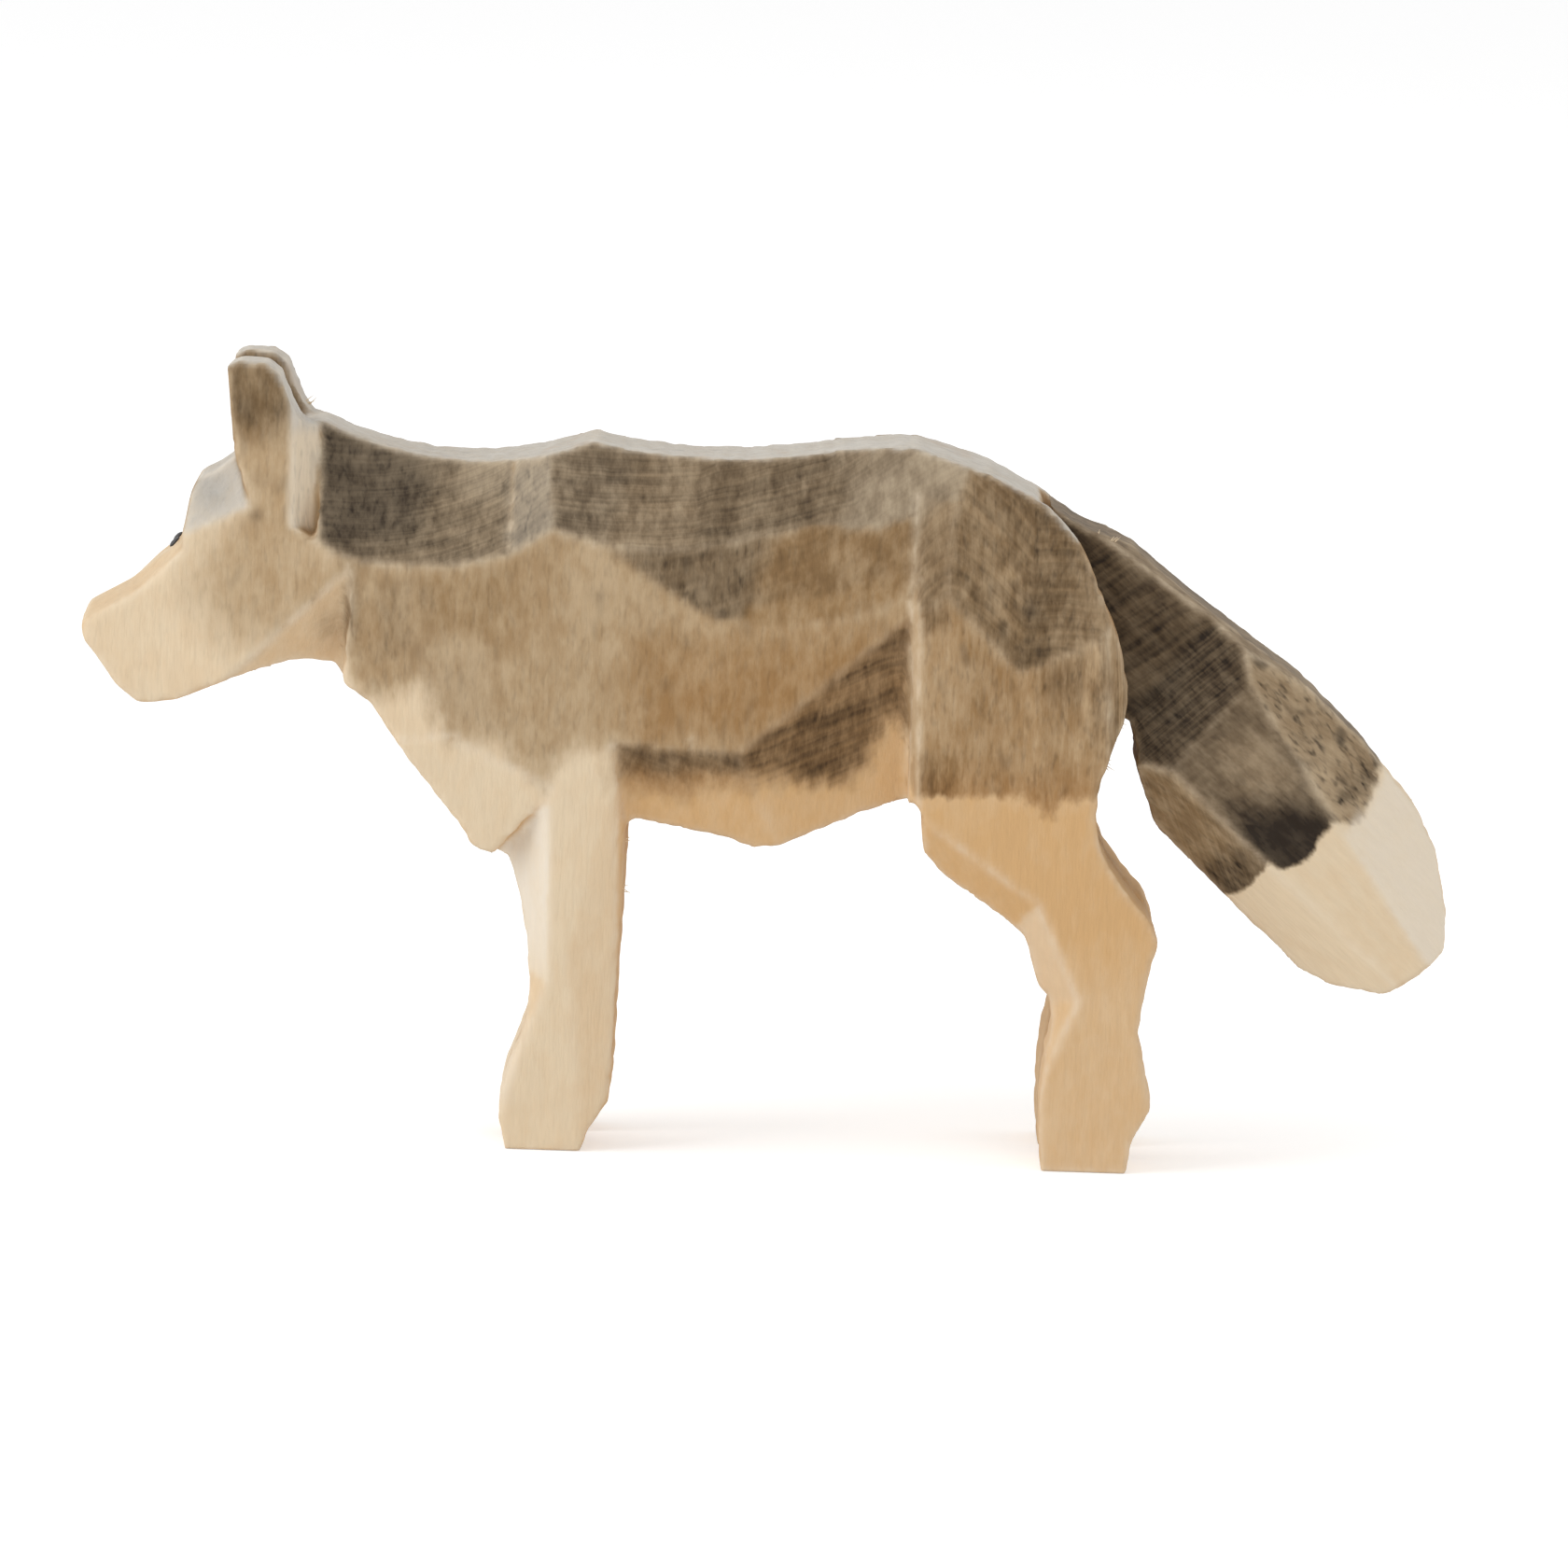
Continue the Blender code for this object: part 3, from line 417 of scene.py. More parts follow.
def glaze_coat(sway: GlazeSway) -> bpy.types.NodeTree:
    """Builds the thin two-pigment glaze, which the grain takes up unevenly and the ridges lose.

    Args:
        sway: How strongly each mask counts.

    Returns:
        A group from the bare wood's colour, the pigments' strengths and the figure's masks to a colour.
    """
    tints = dict.fromkeys(("Wood", *(f"{name} Tint" for name in COAT_TINTS)), COLOUR)
    numbers = dict.fromkeys(COAT_NUMBERS + FIGURE_MASKS, NUMBER)
    sheet = GroupSheet("glaze_coat", {**tints, **numbers}, {"Colour": COLOUR})
    given = sheet.given
    torn = sheet.total(-sway.torn / 2, (given["Feather"], sway.torn))
    film = sheet.between(sheet.total(given["Cover"], (torn, given["Ragged"])), -1.0, 1.0)
    edge = sheet.total(sway.edge_least, (given["Feather"], sway.edge_torn))
    edge = sheet.math("MULTIPLY", given["Edge"], edge, clamp=True)
    kept = sheet.math("MULTIPLY", film, sheet.total(1.0, (edge, -sway.edge_loss)))
    mottled, fibred, layered = (
        sheet.math("SUBTRACT", given[name], 0.5) for name in ("Patches", "Fibres", "Layers")
    )
    figure = (mottled, *(sheet.math("MULTIPLY", mask, given["Figure"]) for mask in (fibred, layered)))
    uneven = sheet.total(1.0, *zip(figure, sway.brown))
    brown = sheet.math("MULTIPLY", given["Brown"], sheet.math("MULTIPLY", uneven, kept), clamp=True)
    swing = sheet.total(0.0, *zip(figure, sway.black))
    room = sheet.math("MULTIPLY", given["Black"], sheet.math("SUBTRACT", sway.most_black, given["Black"]))
    darker = (
        (sheet.math("MULTIPLY", room, swing), sway.black_gain),
        (sheet.math("MULTIPLY", given["Pores"], given["Speck"]), sway.pores),
        (given["Pool"], sway.pool),
    )
    black = sheet.math("MULTIPLY", sheet.total(given["Black"], *darker), kept, clamp=True)
    worn = sheet.mix(sheet.math("MULTIPLY", edge, sway.edge_worn), given["Wood"], given["Worn Tint"])
    browned = sheet.mix(brown, worn, given["Brown Tint"], "MULTIPLY")
    coated = sheet.mix(black, browned, given["Black Tint"], "MULTIPLY")
    # Pale torn fibre and painted sheen are mixed over the glaze.
    fuzz_and_sheen_share = sheet.math("MULTIPLY", given["Fuzz"], sheet.total(1.0, (mottled, sway.fuzz)), clamp=True)
    sheet.fill(sheet.result, {"Colour": sheet.mix(fuzz_and_sheen_share, coated, given["Fuzz Tint"])})
    return sheet.tree


def new_material(name: str) -> tuple[bpy.types.Material, NodeSheet, Socket]:
    """Starts a material.

    Args:
        name: Its name.

    Returns:
        The material, its sheet and the object's coordinates.
    """
    material = bpy.data.materials.new(name)
    material.use_nodes = True
    sheet = NodeSheet(material.node_tree)
    return material, sheet, sheet.node("ShaderNodeTexCoord").outputs["Object"]


class WoodMaker:
    """Makes the wood materials, which share the figure and the glaze groups."""

    def __init__(self) -> None:
        """Builds both groups once."""
        self.figure = wood_figure(WoodFigure())
        self.glaze = glaze_coat(GlazeSway())

    def make(self, finish: WoodFinish) -> bpy.types.Material:
        """Makes one wood material.

        Args:
            finish: Its colours, roughness and grain.

        Returns:
            The material.
        """
        material, sheet, place = new_material(finish.name)
        turn = (0.0, math.radians(90.0 - finish.grain.value), 0.0)
        turned = sheet.node("ShaderNodeMapping", {"Vector": place, "Rotation": turn}).outputs["Vector"]
        depth = sheet.node("ShaderNodeVectorMath", {0: place, 1: finish.growth}, operation="DOT_PRODUCT")
        station = sheet.node("ShaderNodeSeparateXYZ", {0: place}).outputs[0]
        behind = sheet.math("MAXIMUM", sheet.math("SUBTRACT", station, finish.curve_from), 0.0)
        growth = sheet.total(depth.outputs["Value"], (sheet.math("MULTIPLY", behind, behind), finish.curve))
        inputs = {"Vector": turned, "Growth": growth}
        figure = sheet.node("ShaderNodeGroup", inputs, node_tree=self.figure).outputs
        warmth = sheet.total(-finish.warmth / 2, (figure["Patches"], finish.warmth))
        # The honey attribute holds the wood's warmer tone, and painted warm bounce light on faces that look
        # down or lie in shade.
        warmth = sheet.math("ADD", sheet.attribute("honey"), warmth, clamp=True)
        bare = sheet.mix(warmth, finish.cream, finish.honey)
        tone = sheet.total(1.0 - finish.shade / 2, (figure["Fibres"], finish.shade))
        shaded = sheet.node("ShaderNodeHueSaturation", {"Color": bare, "Value": tone})
        inputs = {
            "Wood": shaded.outputs["Color"],
            **{f"{name} Tint": (*getattr(finish, name.lower()), 1.0) for name in COAT_TINTS},
            **{name: sheet.attribute(name.lower()) for name in COAT_NUMBERS},
            **{name: figure[name] for name in FIGURE_MASKS},
        }
        coat = sheet.node("ShaderNodeGroup", inputs, node_tree=self.glaze)
        height = sheet.total(figure["Fibres"], (figure["Pores"], -finish.pore_depth))
        relief = {"Strength": finish.relief_strength, "Distance": finish.relief, "Height": height}
        bump = sheet.node("ShaderNodeBump", relief)
        rough = sheet.total(finish.roughness - finish.uneven / 2, (figure["Fibres"], finish.uneven))
        looks = {
            "Base Color": coat.outputs["Colour"],
            "Specular IOR Level": finish.specular,
            "Roughness": rough,
            "Normal": bump.outputs["Normal"],
        }
        sheet.fill(material.node_tree.nodes[PRINCIPLED], looks)
        return material


def make_paint(finish: PaintFinish) -> bpy.types.Material:
    """Makes the eye's lacquer.

    Args:
        finish: Its colours and roughness.

    Returns:
        The material.
    """
    material, sheet, place = new_material(finish.name)
    drag = sheet.cloud(place, finish.drag, 2.0)
    looks = {
        "Base Color": sheet.mix(drag, finish.colour, finish.dragged),
        "Roughness": sheet.total(finish.roughness, (drag, finish.duller)),
    }
    sheet.fill(material.node_tree.nodes[PRINCIPLED], looks)
    return material


class KnifeFacets:
    """The facets and the outer edges of a solid, which the worn wood is measured against."""

    NEXT_STRIP = math.radians(4.5)
    SAME_FACET = math.radians(22.0)
    EDGE_ANGLE = math.radians(9.0)
    SHARP_ANGLE = math.radians(40.0)
    EDGE_STEP = 0.12 * MM
    OUTSIDE = 0.1
    FAR = 3.0

    def __init__(self, mesh: bpy.types.Mesh) -> None:
        """Reads a merged copy of the solid's mesh."""
        shape = bmesh.new()
        shape.from_mesh(mesh)
        shape.faces.ensure_lookup_table()
        self.tree = BVHTree.FromBMesh(shape)
        self.normals = np.array([face.normal for face in shape.faces])
        self.beside = [self.strips_beside(face) for face in shape.faces]
        self.ridges = self.edge_points(shape, convex=True)
        self.valleys = self.edge_points(shape, convex=False)
        shape.free()

    def strips_beside(self, face: bmesh.types.BMFace) -> list[int]:
        """Gives the faces that meet a face almost flat, as the strips of one hollow cut do."""
        flat = [edge for edge in face.edges if edge.calc_face_angle(math.pi) < self.NEXT_STRIP]
        return [other.index for edge in flat for other in edge.link_faces if other != face]

    def facet(self, start: int) -> np.ndarray:
        """Marks the faces of the facet that a face belongs to.

        Args:
            start: The face.

        Returns:
            Whether each face belongs to the facet.
        """
        marked = np.zeros(len(self.normals), bool)
        marked[start] = True
        limit = math.cos(self.SAME_FACET)
        found = [start]
        while found:
            for other in self.beside[found.pop()]:
                if not marked[other] and self.normals[other] @ self.normals[start] > limit:
                    marked[other] = True
                    found.append(other)
        return marked

    def edge_points(self, shape: bmesh.types.BMesh, convex: bool) -> tuple[KDTree, np.ndarray]:
        """Walks along the edges that the knife left.

        Args:
            shape: The solid.
            convex: Whether the ridges or the valleys are walked.

        Returns:
            A tree of points on the edges, and how sharp the edge is at each.
        """
        points, sharpness = [], []
        for edge in shape.edges:
            angle = edge.calc_face_angle(0.0)
            if angle < self.EDGE_ANGLE or edge.is_convex != convex:
                continue
            start, end = edge.verts[0].co, edge.verts[1].co
            steps = max(1, math.ceil((end - start).length / self.EDGE_STEP))
            points += [start.lerp(end, step / steps) for step in range(steps + 1)]
            sharpness += [min(1.0, angle / self.SHARP_ANGLE)] * (steps + 1)
        tree = KDTree(len(points))
        for index, point in enumerate(points):
            tree.insert(point, index)
        tree.balance()
        return tree, np.array(sharpness)

    def seen_at(self, station: float, height: float, side: Side) -> np.ndarray:
        """Marks the faces of the facet that is seen from one side.

        Args:
            station: Where along the wolf, in metres.
            height: How high, in metres.
            side: The side that is looked at.

        Returns:
            Whether each face belongs to the facet.
        """
        origin = Vector((station, side.value * self.OUTSIDE, height))
        found = self.tree.ray_cast(origin, Vector((0, -side.value, 0)))[2]
        if found is None:
            raise ValueError(f"no facet is seen at station {station} and height {height}")
        return self.facet(found)

    def nearest(self, points: np.ndarray) -> np.ndarray:
        """Gives the face nearest to each point."""
        return np.array([self.tree.find_nearest(Vector(point))[2] for point in points])

    def reach(self, points: np.ndarray, edges: tuple[KDTree, np.ndarray], width: float) -> np.ndarray:
        """Says how much each point lies at an edge.

        Args:
            points: The points in metres.
            edges: The ridges or the valleys.
            width: How far they reach, in millimetres.

        Returns:
            From 0 far away to 1 on a sharp edge.
        """
        tree, sharpness = edges
        found = [tree.find(Vector(point)) for point in points]
        distances = np.minimum(np.array([distance for _, _, distance in found]) / MM, self.FAR)
        return sharpness[[index for _, index, _ in found]] * np.exp(-((distances / width) ** 2))


def inside_by(points: np.ndarray, outline: Outline | np.ndarray) -> tuple[np.ndarray, np.ndarray]:
    """Measures how far points lie inside an outline, less than 0 outside.

    Args:
        points: Stations and heights in millimetres.
        outline: The closed outline's corners, in millimetres.

    Returns:
        The signed distances in millimetres, and where along the outline the nearest point is, in corners.
    """
    corners = np.array(outline, float)
    inside = np.zeros(len(points), bool)
    least = np.full(len(points), np.inf)
    along = np.zeros(len(points))
    for index, ((x1, z1), (x2, z2)) in enumerate(zip(corners, np.roll(corners, -1, axis=0))):
        run = np.array([x2 - x1, z2 - z1])
        share = np.clip(((points - (x1, z1)) @ run) / (run @ run), 0, 1)
        distance = np.linalg.norm(points - (x1, z1) - share[:, None] * run, axis=1)
        along = np.where(distance < least, index + share, along)
        least = np.minimum(least, distance)
        crosses = (z1 > points[:, 1]) != (z2 > points[:, 1])
        rise = z2 - z1 if z2 != z1 else 1e-9
        inside ^= crosses & (points[:, 0] < x1 + (points[:, 1] - z1) * run[0] / rise)
    return np.where(inside, least, -least), along


def ripple(points: np.ndarray, size: Triple) -> np.ndarray:
    """Gives soft noise at each point.

    Args:
        points: The points in metres.
        size: How long a lump is along X, Y and Z, in millimetres.

    Returns:
        The noise, from 0 to 1.
    """
    scaled = points / (np.array(size) * MM)
    return np.array([0.5 + 0.5 * noise.noise(Vector(point)) for point in scaled])


def ramp(values: np.ndarray, start: float, end: float) -> np.ndarray:
    """Rises evenly from 0 where a value is at the start to 1 where it is at the end."""
    return np.clip((values - start) / (end - start), 0, 1)


class CarvedPiece:
    """A piece of carved wood that takes its shape and place from its node.

    Steps, depths and the sole are in metres. Widths, heights, stations and the lumps of the noises are in
    millimetres. A pair named faces says how far a face has to turn for a rule to start and to hold fully.
    """

    CHANNELS = ("brown", "black", "honey", "fuzz", "speck", "figure")
    node = ""
    piece = ""
    slot = ""
    elsewhere = Glaze("elsewhere", 0.0, 0.0)
    # The turned strip on top: grey glaze and pale fuzz, partly painted sheen of faces that look up.
    top_strip = Glaze("top strip", 0.0, 0.0, 0.05, 0.64, 0.0, 0.58, 0.6, 0.4)
    inner_ear = Glaze("inner ear", 0.0, 0.0, 0.9, 0.62, 0.1, 0.0, 0.8, 0.3)
    glazes: tuple[Glaze, ...] = ()
    patches: tuple[Patch, ...] = ()
    dark_spots: tuple[DarkSpot, ...] = ()
    hem: tuple[Triple, ...] = ()
    surface_step = 0.29 * MM
    merge_step = 0.001 * MM
    rounds = 3
    turned_faces = (0.45, 0.25)
    upward_faces = (0.45, 0.65)
    edge_on_faces = (0.5, 0.35)
    under_faces = (0.45, 0.95)
    rearward = 0.5
    wear_width = 0.26
    worn_width = 0.34
    pool_width = 0.30
    turned_from = 41.0
    turned_behind = -35.5
    rim = (46.8, 48.4)
    ears_from = 45.5
    bare_below = 25.0
    # Honey for painted warm bounce light on faces in shade and on faces that look down.
    shaded_bounce_honey = 0.9
    under_bounce_honey = 0.8
    cover_reach = 4.0
    raggedness = (0.1, 1.0)
    bleed = 2
    waves = (3.6, 3.6, 3.6)
    ridges = (0.8, 7.0, 0.8)
    nicks = (0.7, 0.7, 1.1)
    wide_fray = (1.5, 1.5, 2.4)
    fine_fray = (0.6, 0.6, 0.9)
    fine_share = 0.6
    wave_depth = 0.07 * MM
    ridge_depth = 0.2 * MM
    nick_depth = 0.12 * MM
    sole = 0.6 * MM

    def copy_node(self, frame: dict) -> bpy.types.Object:
        """Copies the node's mesh into a new object and closes its surface.

        Args:
            frame: The loaded frame.

        Returns:
            The new object, active and selected.
        """
        mesh = frame["nodes"][self.node].data.copy()
        mesh.materials.clear()
        obj = bpy.data.objects.new(self.piece, mesh)
        bpy.context.scene.collection.objects.link(obj)
        select_only(obj)
        bpy.ops.object.mode_set(mode="EDIT")
        bpy.ops.mesh.select_all(action="SELECT")
        bpy.ops.mesh.remove_doubles(threshold=self.merge_step)
        bpy.ops.object.mode_set(mode="OBJECT")
        return obj

    def even_out(self, obj: bpy.types.Object) -> None:
        """Covers the piece with an even, fine surface whose edges are worn round."""
        remesh = obj.modifiers.new("even_surface", "REMESH")
        remesh.mode = "VOXEL"
        remesh.voxel_size = self.surface_step
        remesh.adaptivity = 0.0
        smooth = obj.modifiers.new("worn_round", "SMOOTH")
        smooth.factor = 0.5
        smooth.iterations = self.rounds
        for modifier in (remesh, smooth):
            bpy.ops.object.modifier_apply(modifier=modifier.name)
        bpy.ops.object.shade_smooth()

    def roughen(self, obj: bpy.types.Object, facets: KnifeFacets) -> None:
        """Sinks knife waves, turned ridges and nicked edges into the surface, and never out of it.

        Args:
            obj: The piece.
            facets: The solid's facets.
        """
        points = read_points(obj)
        outward = read_normals(obj)
        flat = facets.normals[facets.nearest(points)]
        wear = facets.reach(points, facets.ridges, self.wear_width)
        turned = ramp(np.abs(flat[:, 1]), *self.turned_faces) * (points[:, 0] > self.turned_behind * MM)
        depth = self.wave_depth * ripple(points, self.waves)
        depth += turned * self.ridge_depth * ripple(points, self.ridges) ** 2
        depth += wear * self.nick_depth * ripple(points, self.nicks) ** 2
        standing = ramp(points[:, 2], 0.0, self.sole)
        moved = points - outward * (depth * standing)[:, None]
        moved[:, 2] = np.maximum(moved[:, 2], 0.0)
        obj.data.vertices.foreach_set("co", moved.astype(np.float32).ravel())
        obj.data.update()

    def lay_facets(
        self, coat: Coat, points: np.ndarray, facets: KnifeFacets
    ) -> tuple[np.ndarray, dict[str, np.ndarray]]:
        """Lays each facet's own glaze on, the pale one, partly painted sheen, on the strip that was turned,
        painted warm bounce light on faces that look down or lie in shade, and the inner ear's glaze.

        Args:
            coat: Each channel's value at each point, which this changes.
            points: The points in metres.
            facets: The solid's facets.

        Returns:
            How much each point faces a side, from 0 to 1, and which points each named facet holds.
        """
        faces = facets.nearest(points)
        height = points[:, 2] / MM
        held = {}
        for glaze in self.glazes:
            held[glaze.facet] = np.zeros(len(points), bool)
            for side in Side:
                chosen = facets.seen_at(glaze.station * MM, glaze.height * MM, side)[faces]
                held[glaze.facet] |= chosen & (points[:, 1] * side.value >= 0)
            for channel in self.CHANNELS:
                coat[channel][held[glaze.facet]] = getattr(glaze, channel)
        behind, sideways, upward = facets.normals[faces].T
        # Faces that look up along the top, and the rear rim, take the top strip's pale glaze: partly painted
        # sheen.
        top = ramp(upward, *self.upward_faces) * ramp(np.abs(sideways), *self.edge_on_faces)
        top *= height > self.turned_from
        top = np.maximum(top, ramp(height, *self.rim) * (behind > self.rearward))
        for channel in self.CHANNELS:
            coat[channel] += (getattr(self.top_strip, channel) - coat[channel]) * top
        inward = sideways * points[:, 1] < 0
        # Painted warm bounce light: faces that look down, inner faces and low rear faces in shade turn
        # honey-coloured.
        in_shade = inward | ((behind > self.rearward) & (height < self.bare_below))
        under = self.under_bounce_honey * ramp(-upward, *self.under_faces)
        coat["honey"] = np.maximum(coat["honey"], np.maximum(under, self.shaded_bounce_honey * in_shade))
        ears = inward & (height > self.ears_from) & (top < 0.5)
        for channel in self.CHANNELS:
            coat[channel][ears] = getattr(self.inner_ear, channel)
        return 1 - top, held

    def lay_patches(
        self, coat: Coat, points: np.ndarray, sideways: np.ndarray, held: dict[str, np.ndarray]
    ) -> None:
        """Lays the patches and the dark spots over the facets' glaze.

        Args:
            coat: Each channel's value at each point, which this changes.
            points: The points in metres.
            sideways: How much each point faces a side.
            held: Which points each named facet holds.
        """
        flat = points[:, [0, 2]] / MM
        frayed = ripple(points, self.wide_fray) - 0.5
        frayed += self.fine_share * (ripple(points, self.fine_fray) - 0.5)
        for patch in self.patches:
            inside, _ = inside_by(flat, patch.outline)
            share = ramp(inside + frayed, -patch.soft / 2, patch.soft / 2)
            share = share * share * (3 - 2 * share) * sideways
            if patch.facets:
                share = share * np.any([held[name] for name in patch.facets], axis=0)
            for channel in self.CHANNELS:
                value = getattr(patch, channel)
                if value is not None:
                    coat[channel] += (value - coat[channel]) * share
        for dark_mark in self.dark_spots:
            offset = (flat - (dark_mark.station, dark_mark.height)) / (dark_mark.half_length, dark_mark.half_height)
            coat["black"] += dark_mark.black * np.exp(-(offset**2).sum(1)) * sideways

    def paint(self, obj: bpy.types.Object, facets: KnifeFacets) -> None:
        """Keeps the glaze, the hem's distance and the edges' distances at each point.

        Args:
            obj: The piece.
            facets: The solid's facets.
        """
        points = read_points(obj)
        coat = {name: np.full(len(points), getattr(self.elsewhere, name), float) for name in self.CHANNELS}
        sideways, held = self.lay_facets(coat, points, facets)
        self.lay_patches(coat, points, sideways, held)
        coat = soften(obj, coat, self.bleed)
        hem = np.array(self.hem, float)
        inside, along = inside_by(points[:, [0, 2]] / MM, hem[:, :2])
        softness = np.interp(along, np.arange(len(hem) + 1), np.append(hem[:, 2], hem[0, 2]))
        coat["cover"] = np.clip(inside / softness, -self.cover_reach, self.cover_reach)
        coat["ragged"] = np.clip(0.5 / softness, *self.raggedness)
        coat["edge"] = facets.reach(points, facets.ridges, self.worn_width)
        coat["pool"] = facets.reach(points, facets.valleys, self.pool_width)
        for name, values in coat.items():
            attribute = obj.data.attributes.new(name, "FLOAT", "POINT")
            attribute.data.foreach_set("value", values.astype(np.float32))

    def build(self, frame: dict, material: bpy.types.Material) -> bpy.types.Object:
        """Makes the piece and sets it in the frame.

        Args:
            frame: The loaded frame.
            material: Its wood.

        Returns:
            The finished piece.
        """
        obj = self.copy_node(frame)
        facets = KnifeFacets(obj.data)
        self.even_out(obj)
        self.roughen(obj, facets)
        self.paint(obj, facets)
        obj.data.materials.append(material)
        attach(obj, ROOT)
        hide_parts(self.node)
        log.info("%s: %d points", self.piece, len(obj.data.vertices))
        return obj


